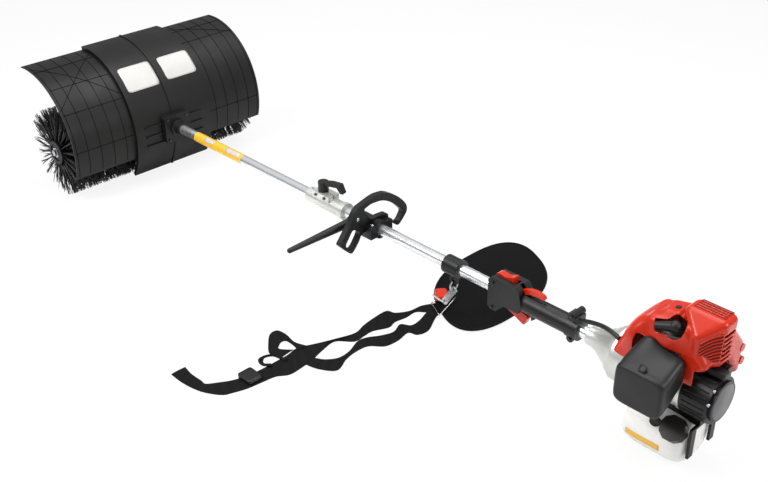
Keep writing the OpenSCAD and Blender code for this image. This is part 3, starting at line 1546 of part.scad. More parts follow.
module air_filter_cover()
    framed() color(charcoal_plastic) {
        low = [filter_x, -filter_inner - filter_w, filter_z];
        high = [filter_x + filter_l, -filter_inner, filter_z + filter_h];
        difference() {
            soft_block_y(low, high, filter_round, filter_edge);
            soft_block_y(low + [filter_t, filter_t, filter_t],
                high + [-filter_t, filter_edge + cut, -filter_t],
                filter_round - filter_t, filter_edge);
        }
        block([(low.x + high.x - latch_w) / 2, low.y + filter_edge, high.z - filter_t],
            [(low.x + high.x + latch_w) / 2, low.y + filter_edge + latch_w, high.z + latch_t]);
    }

module muffler()
    framed() color("#6f6c69") {
        low = [cylinder_x - muffler_l / 2, exhaust_reach, muffler_z];
        difference() {
            soft_block(low, low + [muffler_l, muffler_w, muffler_h], muffler_round, muffler_round / 2);
            bar_y(exhaust_reach - cut, exhaust_reach + muffler_w / 2, port_r / 2, cylinder_x, intake_z);
        }
        difference() {
            bar_y(exhaust_reach + muffler_w, outlet_y, outlet_r, cylinder_x, muffler_z + muffler_h / 4);
            bar_y(exhaust_reach + muffler_w + cut, outlet_y + cut, outlet_r - cut, cylinder_x,
                muffler_z + muffler_h / 4);
        }
    }

// Starter: a cup with a raised disc, a rope pulley on its post and a grip beside its rope guide
module starter_housing()
    framed() color(black_plastic) {
        difference() {
            union() {
                bar_x(starter_x, starter_rear_x, starter_r);
                bar_x(starter_rear_x, engine_rear_x, badge_r);
                block([rope_x - guide_half, guide_y, boom_z],
                    [rope_x + guide_half, guide_y + guide_t, boom_z + guide_up]);
            }
            bar_x(starter_x - cut, starter_rear_x - starter_t, starter_r - starter_t);
            bar_y(0, guide_y + guide_t / 2, rope_r + gap, rope_x, rope_z);
            bar_z(boom_z, rope_z, rope_r + gap, rope_x, guide_y + guide_t / 2);
        }
        bar_x(pulley_x - cut, starter_rear_x, post_r);
    }

module starter_pulley()
    framed() color(charcoal_plastic) difference() {
        bar_x(pulley_x, pulley_x + pulley_l, pulley_r);
        bar_x(pulley_x - cut, pulley_x + pulley_l + cut, post_r + fit);
        difference() {
            bar_x(pulley_x + pulley_l / 4, pulley_x + 3 * pulley_l / 4, pulley_r + cut);
            bar_x(pulley_x, pulley_x + pulley_l, pulley_r - pulley_groove);
        }
    }

module starter_grip()
    framed() color(black_rubber) {
        low = [pulley_x + (pulley_l - grip_bar_l) / 2, guide_y - gap - grip_bar_w,
            boom_z + guide_up - grip_bar_h];
        soft_block_y(low, low + [grip_bar_l, grip_bar_w, grip_bar_h], grip_bar_round,
            grip_bar_round / 2);
    }

// Fuel tank: a hollow soft box with a filler neck that leans to the left
module at_cap()
    translate([cap_x, -cap_y, cap_z]) rotate([cap_tilt, 0, 0]) children();

module fuel_tank()
    framed() color(clear_tank) {
        low = [tank_x, -tank_half, 0];
        high = [tank_x + tank_l, tank_half, tank_h];
        wall = [tank_t, tank_t, tank_t];
        difference() {
            union() {
                difference() {
                    soft_block(low, high, tank_round, tank_edge);
                    at_cap() cylinder(h = tank_h, r = cap_pocket_r);
                }
                at_cap() cylinder(h = cap_neck_l, r = cap_neck_r);
            }
            difference() {
                soft_block(low + wall, high - wall, tank_round - tank_t, tank_edge);
                at_cap() translate([0, 0, -tank_t]) cylinder(h = tank_h, r = cap_pocket_r + tank_t);
            }
            at_cap() translate([0, 0, -2 * tank_t]) cylinder(h = tank_h, r = cap_neck_r - cap_neck_t);
        }
    }

module fuel_cap()
    framed() color(black_plastic) at_cap() translate([0, 0, cap_neck_l + gap]) difference() {
        translate([0, 0, -cap_h / 2]) cylinder(h = cap_h, r = cap_r, $fn = cap_sides);
        translate([0, 0, -cap_h / 2 - cut]) cylinder(h = cap_h / 2 + cut, r = cap_neck_r + fit);
    }

// Stand: a saddle between the crankcase and the tank, and two legs behind the tank
module engine_stand() {
    saddle_x = cylinder_x - muffler_l / 2;
    framed() color(black_plastic) difference() {
        union() {
            block([saddle_x, -saddle_w, tank_h], [stand_x + stand_t, saddle_w, boom_z]);
            block([stand_x, -stand_half, tank_h], [stand_x + stand_t, stand_half, tank_h + stand_t]);
            for (side = [-1, 1])
                block([stand_x, side * (stand_half - stand_leg_w / 2) - stand_leg_w / 2, stand_leg_z],
                    [stand_x + stand_t, side * (stand_half - stand_leg_w / 2) + stand_leg_w / 2,
                        tank_h + stand_t]);
        }
        bar_x(fan_x, starter_x, crankcase_r);
        bar_x(starter_x - case_rear_t / 2, engine_rear_x, starter_r);
    }
}

guard_wing_left();
guard_wing_right();
guard_band_left();
guard_band_right();
guard_bracket();
gearbox_housing();
gearbox_cover();
gearbox_bearings();
output_shaft();
worm_wheel();
worm();
brush_core_left();
brush_core_right();
bristles_left();
bristles_right();
brush_bolts();
lower_tube();
upper_tube();
coupler_body();
coupler_knob();
drive_shaft_lower();
drive_shaft_upper();
shaft_bushes();
loop_handle();
handle_clamp();
barrier_bar();
machine_screws();
hanger_clamp();
harness_hardware();
quick_release();
hip_pad();
harness_webbing();
grip_shell_left();
grip_shell_right();
throttle_trigger();
lockout_lever();
stop_switch();
lever_pins();
throttle_conduit();
clutch_housing();
clutch_drum();
clutch_shoes();
crankcase();
crankshaft();
flywheel();
piston();
connecting_rod();
engine_cylinder();
spark_plug();
spark_boot();
engine_cover();
carburettor();
air_filter_cover();
muffler();
starter_housing();
starter_pulley();
starter_grip();
fuel_tank();
fuel_cap();
engine_stand();
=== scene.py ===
"""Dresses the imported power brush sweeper: finishes, bristles, soft harness, blank labels and light."""

import json
import logging
import math
from dataclasses import dataclass, field
from enum import Enum
from typing import Callable, Sequence

import bmesh
import bpy
import numpy as np
from mathutils import Matrix, Vector


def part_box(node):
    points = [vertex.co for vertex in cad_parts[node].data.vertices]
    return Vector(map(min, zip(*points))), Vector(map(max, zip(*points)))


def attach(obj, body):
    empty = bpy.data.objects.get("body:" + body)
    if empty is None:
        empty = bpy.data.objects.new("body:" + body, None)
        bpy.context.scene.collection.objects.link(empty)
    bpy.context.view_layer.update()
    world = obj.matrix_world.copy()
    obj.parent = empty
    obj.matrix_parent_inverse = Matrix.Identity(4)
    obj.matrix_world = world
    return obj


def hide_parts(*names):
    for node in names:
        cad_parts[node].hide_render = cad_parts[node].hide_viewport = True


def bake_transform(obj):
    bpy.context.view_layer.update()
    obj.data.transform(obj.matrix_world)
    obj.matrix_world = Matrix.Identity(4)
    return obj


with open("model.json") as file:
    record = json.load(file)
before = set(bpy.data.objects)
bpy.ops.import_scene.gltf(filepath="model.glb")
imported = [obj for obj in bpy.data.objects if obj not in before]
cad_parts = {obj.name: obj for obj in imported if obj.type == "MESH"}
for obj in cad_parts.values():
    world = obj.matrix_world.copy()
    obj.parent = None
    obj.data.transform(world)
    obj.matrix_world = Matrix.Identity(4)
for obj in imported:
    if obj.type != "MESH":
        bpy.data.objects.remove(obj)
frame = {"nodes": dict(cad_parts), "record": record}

LOG = logging.getLogger("sweeper")
MM = 0.001
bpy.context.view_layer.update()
RECORD = frame["record"]
BODY_OF = {node: body for body, nodes in RECORD["behaviour"]["bodies"].items() for node in nodes}
SLOT_OF = {part["node"]: part["material_slot"] for part in RECORD["subparts"]}


def machine_origin() -> np.ndarray:
    """The middle of the output shaft's box, dropped to the floor, in metres of the shared frame."""
    low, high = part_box("output_shaft")
    return np.array([(low.x + high.x) / 2, (low.y + high.y) / 2, 0.0])


ORIGIN = machine_origin()


def metres(points: Sequence) -> np.ndarray:
    """Turns places in millimetres from the brush axis into metres of the shared frame."""
    return np.asarray(points, float) * MM + ORIGIN


def millimetres(places: Sequence) -> np.ndarray:
    """Turns places in metres of the shared frame into millimetres from the brush axis."""
    return (np.asarray(places, float) - ORIGIN) / MM


def at(x: np.ndarray | float, y: np.ndarray | float, z: np.ndarray | float) -> np.ndarray:
    """Places in metres from coordinates in millimetres, which may be arrays of unlike shapes."""
    return metres(np.stack(np.broadcast_arrays(x, y, z), -1))


def clipped(values: np.ndarray, start: float, run: float) -> np.ndarray:
    """How far values have come on a run, which may go down: 0 before its start, 1 after its end."""
    return np.clip((values - start) / run, 0, 1)


def eased(values: np.ndarray, start: float, run: float) -> np.ndarray:
    """The share that clipped gives, with soft ends: three times its square less twice its cube."""
    share = clipped(values, start, run)
    return share**2 * (3 - 2 * share)


def linear(hex_colour: str) -> tuple[float, float, float, float]:
    """Turns an sRGB hex colour into linear light with full alpha.

    Args:
        hex_colour: Six hex digits after a hash.

    Returns:
        Red, green, blue and alpha.
    """
    parts = [int(hex_colour[i:i + 2], 16) / 255 for i in (1, 3, 5)]
    light = [c / 12.92 if c <= 0.04045 else ((c + 0.055) / 1.055) ** 2.4 for c in parts]
    return light[0], light[1], light[2], 1.0


def set_inputs(tree: bpy.types.NodeTree, node: bpy.types.Node, inputs: dict) -> None:
    """Gives the inputs of a shader node their values and links.

    Args:
        tree: The tree that holds the node.
        node: The node.
        inputs: Input sockets by name or index, each given a value or an output socket to link.
    """
    for key, value in inputs.items():
        if isinstance(value, bpy.types.NodeSocket):
            tree.links.new(value, node.inputs[key])
        else:
            node.inputs[key].default_value = value


def add_node(tree: bpy.types.NodeTree, kind: str, settings: dict | None = None,
             inputs: dict | None = None) -> bpy.types.Node:
    """Adds one shader node with its settings, values and links.

    Args:
        tree: The node tree that takes the node.
        kind: The node's type name.
        settings: Attributes to set on the node.
        inputs: Its input sockets, as for set_inputs.

    Returns:
        The new node.
    """
    node = tree.nodes.new(kind)
    for name, value in (settings or {}).items():
        setattr(node, name, value)
    set_inputs(tree, node, inputs or {})
    return node


class Texture(Enum):
    """How a surface was made, which decides its pattern."""

    MOULDED = "moulded"
    CAST = "cast"
    DRAWN = "drawn"
    WOVEN = "woven"
    RIBBED = "ribbed"


@dataclass(frozen=True)
class Finish:
    """One real material: its colours, gloss and the scale of its pattern in millimetres."""

    name: str
    colour: str
    shade: str
    roughness: float
    texture: Texture
    grain_mm: float
    depth_mm: float
    metallic: float = 0.0
    ior: float = 1.5
    spread_mm: float = 70.0
    coat: float = 0.0
    subsurface: float = 0.0
    roughness_swing: float = 0.08
    coat_roughness: float = 0.12
    glow_depth: tuple[float, float, float] = (0.02, 0.018, 0.014)

    def material(self) -> bpy.types.Material:
        """Builds the material once and returns it on every later call.

        Returns:
            The procedural material.
        """
        known = bpy.data.materials.get(self.name)
        if known is not None:
            return known
        material = bpy.data.materials.new(self.name)
        material.use_nodes = True
        tree = material.node_tree
        shader = tree.nodes["Principled BSDF"]
        set_inputs(tree, shader, {
            "Metallic": self.metallic, "Coat Weight": self.coat, "Coat Roughness": self.coat_roughness,
            "Subsurface Weight": self.subsurface, "Subsurface Radius": self.glow_depth})
        if self.metallic == 0:
            shader.inputs["IOR"].default_value = self.ior
        self.shade_surface(tree, shader)
        return material

    def shade_surface(self, tree: bpy.types.NodeTree, shader: bpy.types.Node) -> None:
        """Links colour drift, gloss drift and relief to the shader.

        Args:
            tree: The material's node tree.
            shader: Its principled shader.
        """
        coords = add_node(tree, "ShaderNodeTexCoord").outputs
        drift = add_node(tree, "ShaderNodeTexNoise", inputs={
            "Vector": coords["Object"], "Scale": 1000 / self.spread_mm, "Detail": 4.0}).outputs["Fac"]
        relief = self.relief(tree, coords)
        blend = add_node(tree, "ShaderNodeMath", {"operation": "MULTIPLY_ADD", "use_clamp": True},
                         {0: relief, 1: 0.55, 2: drift}).outputs[0]
        ramp = add_node(tree, "ShaderNodeMapRange", inputs={
            "Value": blend, "From Min": 0.35, "From Max": 1.05}).outputs["Result"]
        colour = add_node(tree, "ShaderNodeMix", {"data_type": "RGBA"}, {
            "Factor": ramp, 6: linear(self.colour), 7: linear(self.shade)}).outputs[2]
        gloss = add_node(tree, "ShaderNodeMapRange", inputs={
            "Value": drift, "From Min": 0.3, "From Max": 0.7,
            "To Min": max(0.03, self.roughness - self.roughness_swing),
            "To Max": min(1.0, self.roughness + self.roughness_swing)}).outputs["Result"]
        bump = add_node(tree, "ShaderNodeBump", inputs={
            "Height": relief, "Distance": self.depth_mm * MM, "Strength": 1.0}).outputs["Normal"]
        set_inputs(tree, shader, {"Base Color": colour, "Roughness": gloss, "Normal": bump})

    def relief(self, tree: bpy.types.NodeTree, coords: bpy.types.bpy_prop_collection) -> bpy.types.NodeSocket:
        """The height pattern: grain for mouldings, long streaks for drawn metal, threads for cloth.

        Args:
            tree: The material's node tree.
            coords: The outputs of its texture coordinate node.

        Returns:
            A socket that gives height from 0 to 1.
        """
        scale = 1000 / self.grain_mm
        if self.texture in (Texture.WOVEN, Texture.RIBBED):
            waves = [add_node(tree, "ShaderNodeTexWave",
                              {"wave_type": "BANDS", "bands_direction": axis, "wave_profile": "SIN"},
                              {"Vector": coords["UV"], "Scale": scale / (2 * math.pi) * share,
                               "Distortion": 0.4, "Detail": 1.0}).outputs["Fac"]
                     for axis, share in (("X", 1.0), ("Y", 0.25 if self.texture is Texture.RIBBED else 1.0))]
            return add_node(tree, "ShaderNodeMath", {"operation": "MULTIPLY"},
                            {0: waves[0], 1: waves[1]}).outputs[0]
        stretch = (0.004, 1.0, 1.0) if self.texture is Texture.DRAWN else (1.0, 1.0, 1.0)
        place = add_node(tree, "ShaderNodeMapping", inputs={
            "Vector": coords["Object"], "Scale": stretch}).outputs["Vector"]
        detail = {Texture.MOULDED: 2.0, Texture.CAST: 5.0, Texture.DRAWN: 3.0}[self.texture]
        return add_node(tree, "ShaderNodeTexNoise", inputs={
            "Vector": place, "Scale": scale, "Detail": detail, "Roughness": 0.6}).outputs["Fac"]


# Moulded polypropylene: a matte spark-eroded grain that scatters the light
GUARD_PLASTIC = Finish("moulded_black_polypropylene", "#0f0e0e", "#0b0a0a", 0.47, Texture.MOULDED, 1.6, 0.05,
                       ior=1.33)
# Glass-filled nylon of the handles: finer grain, a little more gloss
GRIP_PLASTIC = Finish("moulded_black_nylon", "#101011", "#0b0b0c", 0.4, Texture.MOULDED, 1.2, 0.04, ior=1.36)
# Extruded nylon bristle: dark with a soft shine along the strand
BRISTLE_NYLON = Finish("extruded_black_bristle", "#0f0f10", "#1c1b1d", 0.38, Texture.MOULDED, 6.0, 0.02,
                       ior=1.36)
# Bright drawn aluminium tube: fine streaks along its length
TUBE_ALUMINIUM = Finish("drawn_aluminium_tube", "#e8eaec", "#d0d3d6", 0.22, Texture.DRAWN, 1.2, 0.008, 0.9)
# Die-cast aluminium: pale, satin, with the skin of the mould
CAST_ALUMINIUM = Finish("die_cast_aluminium", "#d8d9d4", "#b6b7b2", 0.36, Texture.CAST, 2.2, 0.06, 0.65)
# Bright zinc-plated steel of bolts, shafts, hooks and rings
PLATED_STEEL = Finish("zinc_plated_steel", "#c9cacc", "#9a9ca0", 0.24, Texture.CAST, 3.0, 0.02, 1.0)
# Machined bronze of the worm wheel
WHEEL_BRONZE = Finish("machined_bronze", "#b98a4a", "#8e6632", 0.32, Texture.CAST, 2.0, 0.02, 1.0)
# Moulded nylon of the shaft bushes
BUSH_PLASTIC = Finish("moulded_bush_nylon", "#6c6259", "#5a5149", 0.5, Texture.MOULDED, 1.5, 0.03)
# Glossy ABS of the engine cover and the controls: strong colour under a clear shine
RED_ABS = Finish("glossy_orange_red_abs", "#c4290a", "#b22006", 0.27, Texture.MOULDED, 9.0, 0.012,
                 ior=1.36, coat=0.08)
# Filter cover: charcoal polypropylene with a satin grain
FILTER_PLASTIC = Finish("moulded_charcoal_polypropylene", "#1a1a1b", "#131314", 0.42, Texture.MOULDED,
                        1.4, 0.05, ior=1.36)
# Fuel cap: a brown black that the fuel has stained
CAP_PLASTIC = Finish("stained_black_nylon", "#1b1613", "#120e0c", 0.36, Texture.MOULDED, 1.4, 0.04, ior=1.38)
# Starter disc: a paler satin grey face
DISC_PLASTIC = Finish("satin_grey_nylon", "#4b4a4d", "#3f3e41", 0.36, Texture.MOULDED, 1.2, 0.03)
# Ribs of the guard: darker than the guard's plastic and without shine, painted shade so that they read as
# dark lines
RIB_SHADOW = Finish("painted_shade_black_polypropylene", "#030303", "#050505", 0.85, Texture.MOULDED, 1.6, 0.03,
                    ior=1.15)
# The gap under each slat of the red cover: the same plastic in shade
RED_SHADOW = Finish("shaded_orange_red_abs", "#4a0a03", "#3a0702", 0.6, Texture.MOULDED, 9.0, 0.01, ior=1.25)
# Blackened screws, which barely show on the black mouldings
BLACK_STEEL = Finish("blackened_steel", "#3c3c3f", "#2a2a2c", 0.35, Texture.CAST, 3.0, 0.03, 0.7)
# Moulded rubber of conduit, boot and pull grip; also the black plate of painted shade in the cover's screw
# recess
RUBBER = Finish("moulded_black_rubber", "#0e0e0f", "#161617", 0.45, Texture.MOULDED, 2.0, 0.04, ior=1.36)
# Blow-moulded polyethylene tank: milky, lets a little light through
TANK_PLASTIC = Finish("blow_moulded_polyethylene", "#eeeeec", "#e3e2de", 0.34, Texture.MOULDED, 8.0, 0.04,
                      subsurface=0.35, coat=0.1)
# Pad cover: woven polyester, threads drawn coarser than real so that they show
PAD_CLOTH = Finish("woven_black_polyester", "#0d0c0c", "#161515", 0.85, Texture.WOVEN, 2.4, 0.25, ior=1.15)
# Webbing: a ribbed polyester weave, its ribs drawn coarser than real
WEBBING_CLOTH = Finish("ribbed_black_webbing", "#080808", "#131314", 0.75, Texture.RIBBED, 3.0, 0.3, ior=1.2)
# Printed film: bare white and bare yellow, with a soft shine
WHITE_FILM = Finish("white_vinyl_film", "#c0bfbc", "#b5b3b0", 0.34, Texture.MOULDED, 5.0, 0.01)
YELLOW_FILM = Finish("yellow_vinyl_film", "#e9bb37", "#dea71f", 0.3, Texture.MOULDED, 5.0, 0.01, coat=0.3)
# Braided starter rope
ROPE_FIBRE = Finish("braided_grey_rope", "#8a8884", "#6c6a66", 0.8, Texture.WOVEN, 1.5, 0.2)
# Burnt steel of the silencer
SILENCER_STEEL = Finish("heat_stained_steel", "#8b857c", "#6d665e", 0.45, Texture.CAST, 6.0, 0.05, 1.0)

SLOT_FINISH = {
    "guard_plastic": GUARD_PLASTIC, "bristle_nylon": BRISTLE_NYLON, "cast_alloy": CAST_ALUMINIUM,
    "tube_aluminium": TUBE_ALUMINIUM, "steel": PLATED_STEEL, "bronze": WHEEL_BRONZE,
    "bush_plastic": BUSH_PLASTIC, "red_plastic": RED_ABS, "charcoal_plastic": FILTER_PLASTIC,
    "black_rubber": RUBBER, "tank_plastic": TANK_PLASTIC, "black_cloth": PAD_CLOTH,
}


def placed(data: bpy.types.ID) -> bpy.types.Object:
    """Puts a mesh, a light or a camera into the scene as a new object of the same name, at the origin.

    Args:
        data: What the object shows.

    Returns:
        The new object.
    """
    piece = bpy.data.objects.new(data.name, data)
    bpy.context.scene.collection.objects.link(piece)
    return piece


def set_uv(mesh: bpy.types.Mesh, name: str, uv: np.ndarray) -> None:
    """Gives every corner of every face the texture coordinates of its point.

    Args:
        mesh: The mesh that gets the map.
        name: The map's name.
        uv: One pair for each point, in metres.
    """
    point = np.empty(len(mesh.loops), np.int32)
    mesh.loops.foreach_get("vertex_index", point)
    layer = mesh.uv_layers.new(name=name)
    layer.data.foreach_set("uv", np.asarray(uv, np.float32).reshape(-1, 2)[point].ravel())


def put_mesh(name: str, points: np.ndarray, faces: Sequence,
             uv: np.ndarray | None = None) -> bpy.types.Object:
    """Puts points and faces into a new smooth mesh object at the origin.

    Args:
        name: The piece's name.
        points: Corner places in metres.
        faces: Faces as rows of corner numbers, all of one length or a list of mixed lengths.
        uv: One pair of texture coordinates for each point, in metres.

    Returns:
        The new object.
    """
    mesh = bpy.data.meshes.new(name)
    rows = faces.tolist() if isinstance(faces, np.ndarray) else [list(face) for face in faces]
    mesh.from_pydata(np.asarray(points, float).reshape(-1, 3).tolist(), [], rows)
    if uv is not None:
        set_uv(mesh, "UVMap", uv)
    mesh.update()
    mesh.shade_smooth()
    return placed(mesh)


def corners_of(mesh: bpy.types.Mesh) -> np.ndarray:
    """Reads a mesh's corners.

    Args:
        mesh: The mesh.

    Returns:
        Their places in metres, as rows of x, y and z.
    """
    places = np.empty(3 * len(mesh.vertices))
    mesh.vertices.foreach_get("co", places)
    return places.reshape(-1, 3)


def frozen(piece: bpy.types.Object) -> bpy.types.Mesh:
    """A new mesh of the piece's shape after its modifiers."""
    return bpy.data.meshes.new_from_object(piece.evaluated_get(bpy.context.evaluated_depsgraph_get()))


def grid_faces(rows: int, columns: int, wrap: bool) -> np.ndarray:
    """Quads of a grid of points, row by row, with the columns closed to a ring if wrap is set.

    Args:
        rows: Rows of points.
        columns: Points in a row.
        wrap: Whether the last column joins the first.

    Returns:
        An array of corner numbers, four to a face.
    """
    r, c = np.meshgrid(np.arange(rows - 1), np.arange(columns if wrap else columns - 1), indexing="ij")
    n = (c + 1) % columns
    quads = np.stack([r * columns + c, r * columns + n, (r + 1) * columns + n, (r + 1) * columns + c], -1)
    return quads.reshape(-1, 4)


def capped_faces(rows: int, columns: int) -> list:
    """Faces of a run of rings, with a flat cap on the first ring and on the last.

    Args:
        rows: Number of rings.
        columns: Points in a ring.

    Returns:
        The faces as lists of corner numbers.
    """
    last = (rows - 1) * columns
    caps = [list(range(columns))[::-1], list(range(last, last + columns))]
    return grid_faces(rows, columns, True).tolist() + caps


def outward(piece: bpy.types.Object) -> bpy.types.Object:
    """Turns all faces of a closed piece outwards.

    Args:
        piece: The piece.

    Returns:
        The same piece.
    """
    work = bmesh.new()
    work.from_mesh(piece.data)
    bmesh.ops.recalc_face_normals(work, faces=work.faces)
    work.to_mesh(piece.data)
    work.free()
    return piece


def capped_piece(name: str, rings: np.ndarray, uv: np.ndarray | None = None) -> bpy.types.Object:
    """A closed piece from a run of rings of places in metres, with a flat cap at each end."""
    return outward(put_mesh(name, rings, capped_faces(*rings.shape[:2]), uv))


def smooth_run(points: Sequence, steps: int) -> np.ndarray:
    """A smooth line through given points: each span is a cubic that leans on both neighbours.

    Args:
        points: The places that the line passes through.
        steps: Points on each span.

    Returns:
        The points of the line.
    """
    p = np.asarray(points, float)
    a, b, c, d = np.vstack([p[:1], p[:-2]]), p[:-1], p[1:], np.vstack([p[2:], p[-1:]])
    t = (np.arange(steps) / steps)[None, :, None]
    a, b, c, d = (v[:, None, :] for v in (a, b, c, d))
    run = b + (c - a) * t / 2 + (a - 2.5 * b + 2 * c - d / 2) * t**2 + (-a + 3 * b - 3 * c + d) / 2 * t**3
    return np.vstack([run.reshape(-1, p.shape[1]), p[-1:]])


def tube_parts(path: np.ndarray, radius: float, sides: int,
               up: Sequence = (0.0, 0.3, 1.0)) -> tuple[np.ndarray, list]:
    """Points and faces of a round tube carried along a path, with a flat cap at each end.

    Args:
        path: The places that the middle of the tube passes, in metres.
        radius: Its radius in metres.
        sides: Points around the tube.
        up: A direction that the path never follows.

    Returns:
        The points, and the faces as lists of corner numbers.
    """
    along = np.gradient(path, axis=0)
    along /= np.linalg.norm(along, axis=1, keepdims=True)
    side = np.cross(along, np.asarray(up, float))
    side /= np.linalg.norm(side, axis=1, keepdims=True)
    over = np.cross(side, along)
    turn = np.linspace(0, 2 * np.pi, sides, endpoint=False)[None, :, None]
    rings = path[:, None] + radius * (side[:, None] * np.cos(turn) + over[:, None] * np.sin(turn))
    return rings.reshape(-1, 3), capped_faces(len(path), sides)


def joined(name: str, parts: Sequence) -> bpy.types.Object:
    """Joins several closed sets of points and faces into one piece.

    Args:
        name: The piece's name.
        parts: Pairs of points and faces.

    Returns:
        The new object.
    """
    starts = np.cumsum([0] + [len(points) for points, _ in parts]).tolist()
    faces = [[corner + start for corner in row] for start, (_, rows) in zip(starts, parts) for row in rows]
    return outward(put_mesh(name, np.vstack([points for points, _ in parts]), faces))


def rods(name: str, paths: Sequence, radius_mm: float, sides: int) -> bpy.types.Object:
    """Round bars as one piece, each along a path in millimetres from the brush axis."""
    return joined(name, [tube_parts(metres(path), radius_mm * MM, sides) for path in paths])


def dressed(piece: bpy.types.Object, finish: Finish, slot: str, *replaced: str,
            body: str = "machine") -> bpy.types.Object:
    """Gives a piece its finish and its body, and hides the solids that it stands for.

    Args:
        piece: The new piece.
        finish: Its finish.
        slot: The record's material slot; not used.
        replaced: Names of the solids that it replaces.
        body: The body that it moves with.

    Returns:
        The piece.
    """
    piece.data.materials.clear()
    piece.data.materials.append(finish.material())
    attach(piece, body)
    if replaced:
        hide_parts(*replaced)
    LOG.info("%s rides on %s, finish %s", piece.name, body, finish.name)
    return piece


def bare_copy(node: str, name: str) -> bpy.types.Mesh:
    """A solid's mesh with its seams closed, its flat faces joined and plain smooth shading.

    Args:
        node: The solid's name.
        name: The copy's name.

    Returns:
        The copy.
    """
    mesh = frame["nodes"][node].data.copy()
    mesh.name = name
    work = bmesh.new()
    work.from_mesh(mesh)
    bmesh.ops.remove_doubles(work, verts=work.verts, dist=2e-6)
    bmesh.ops.dissolve_limit(work, angle_limit=math.radians(1.5), verts=work.verts, edges=work.edges)
    work.to_mesh(mesh)
    work.free()
    if "custom_normal" in mesh.attributes:
        mesh.attributes.remove(mesh.attributes["custom_normal"])
    mesh.shade_smooth()
    return mesh


def softened(node: str, finish: Finish, width_mm: float,
             shape: Callable[[np.ndarray], np.ndarray] | None = None) -> bpy.types.Object:
    """A copy of a solid with rounded edges, which stands for it.

    Args:
        node: The solid's name.
        finish: The finish of the copy.
        width_mm: Width of the rounding.
        shape: Moves the copy's corners, given and returned in millimetres from the brush axis.

    Returns:
        The copy.
    """
    mesh = bare_copy(node, node + "_rounded")
    if shape:
        mesh.vertices.foreach_set("co", metres(shape(millimetres(corners_of(mesh)))).ravel())
    piece = placed(mesh)
    rounding = piece.modifiers.new("rounded_edges", "BEVEL")
    rounding.width = width_mm * MM
    rounding.segments = 3
    rounding.limit_method = "ANGLE"
    rounding.angle_limit = math.radians(38)
    rounding.use_clamp_overlap = True
    rounding.harden_normals = True
    return dressed(piece, finish, SLOT_OF[node], node, body=BODY_OF[node])


def squared_circle(turn: np.ndarray, power: float) -> np.ndarray:
    """A circle of radius 1 pushed out to its corners: both coordinates, raised to the power, add up to 1.

    Args:
        turn: Angles around its middle, in radians.
        power: 2 for a true circle, more for a squarer one.

    Returns:
        Places with the two coordinates on the last axis.
    """
    c, s = np.cos(turn), np.sin(turn)
    reach = (np.abs(c)**power + np.abs(s)**power)**(-1 / power)
    return np.stack([c * reach, s * reach], -1)


def rounded_outline(low: Sequence, high: Sequence, radius: float, per_side: int = 14) -> np.ndarray:
    """The edge of a rectangle with rounded corners, with points along the straight sides too.

    Args:
        low: Least values of the two coordinates.
        high: Greatest values of the two coordinates.
        radius: Corner radius as a share of the shorter side.
        per_side: Points on each side.

    Returns:
        The corners of the edge in order.
    """
    turn = np.linspace(0, 2 * np.pi, 4 * per_side, endpoint=False)
    middle = (np.asarray(low) + np.asarray(high)) / 2
    half = (np.asarray(high) - np.asarray(low)) / 2
    return middle + half * squared_circle(turn, 2 / max(radius, 0.02))


def plate(name: str, outline: np.ndarray, lift: float, thick: float, rings: int,
          place: Callable[..., np.ndarray]) -> bpy.types.Object:
    """A thin plate that follows a surface: shrunken copies of an outline, raised, closed underneath.

    Args:
        name: The piece's name.
        outline: Two surface coordinates for each corner of its edge.
        lift: Height of its under side over the surface.
        thick: Its thickness.
        rings: Copies of the outline between edge and middle.
        place: Turns the two coordinates and a height into metres.

    Returns:
        The plate.
    """
    middle = outline.mean(axis=0)
    shares = np.linspace(1.0, 0.02, rings)
    top = middle + shares[:, None, None] * (outline - middle)
    flat = np.concatenate([top[::-1], top])
    height = np.repeat([lift + thick, lift], rings)[:, None]
    return capped_piece(name, place(flat[..., 0], flat[..., 1], np.broadcast_to(height, flat.shape[:2])))


class Assembly:
    """A group of pieces: it builds its own, and rounds the edges of the solids that it lists."""

    rounded: dict

    def dress(self) -> None:
        """Puts a copy with rounded edges in the place of each listed solid."""
        for node, (finish, width) in self.rounded.items():
            softened(node, finish, width)


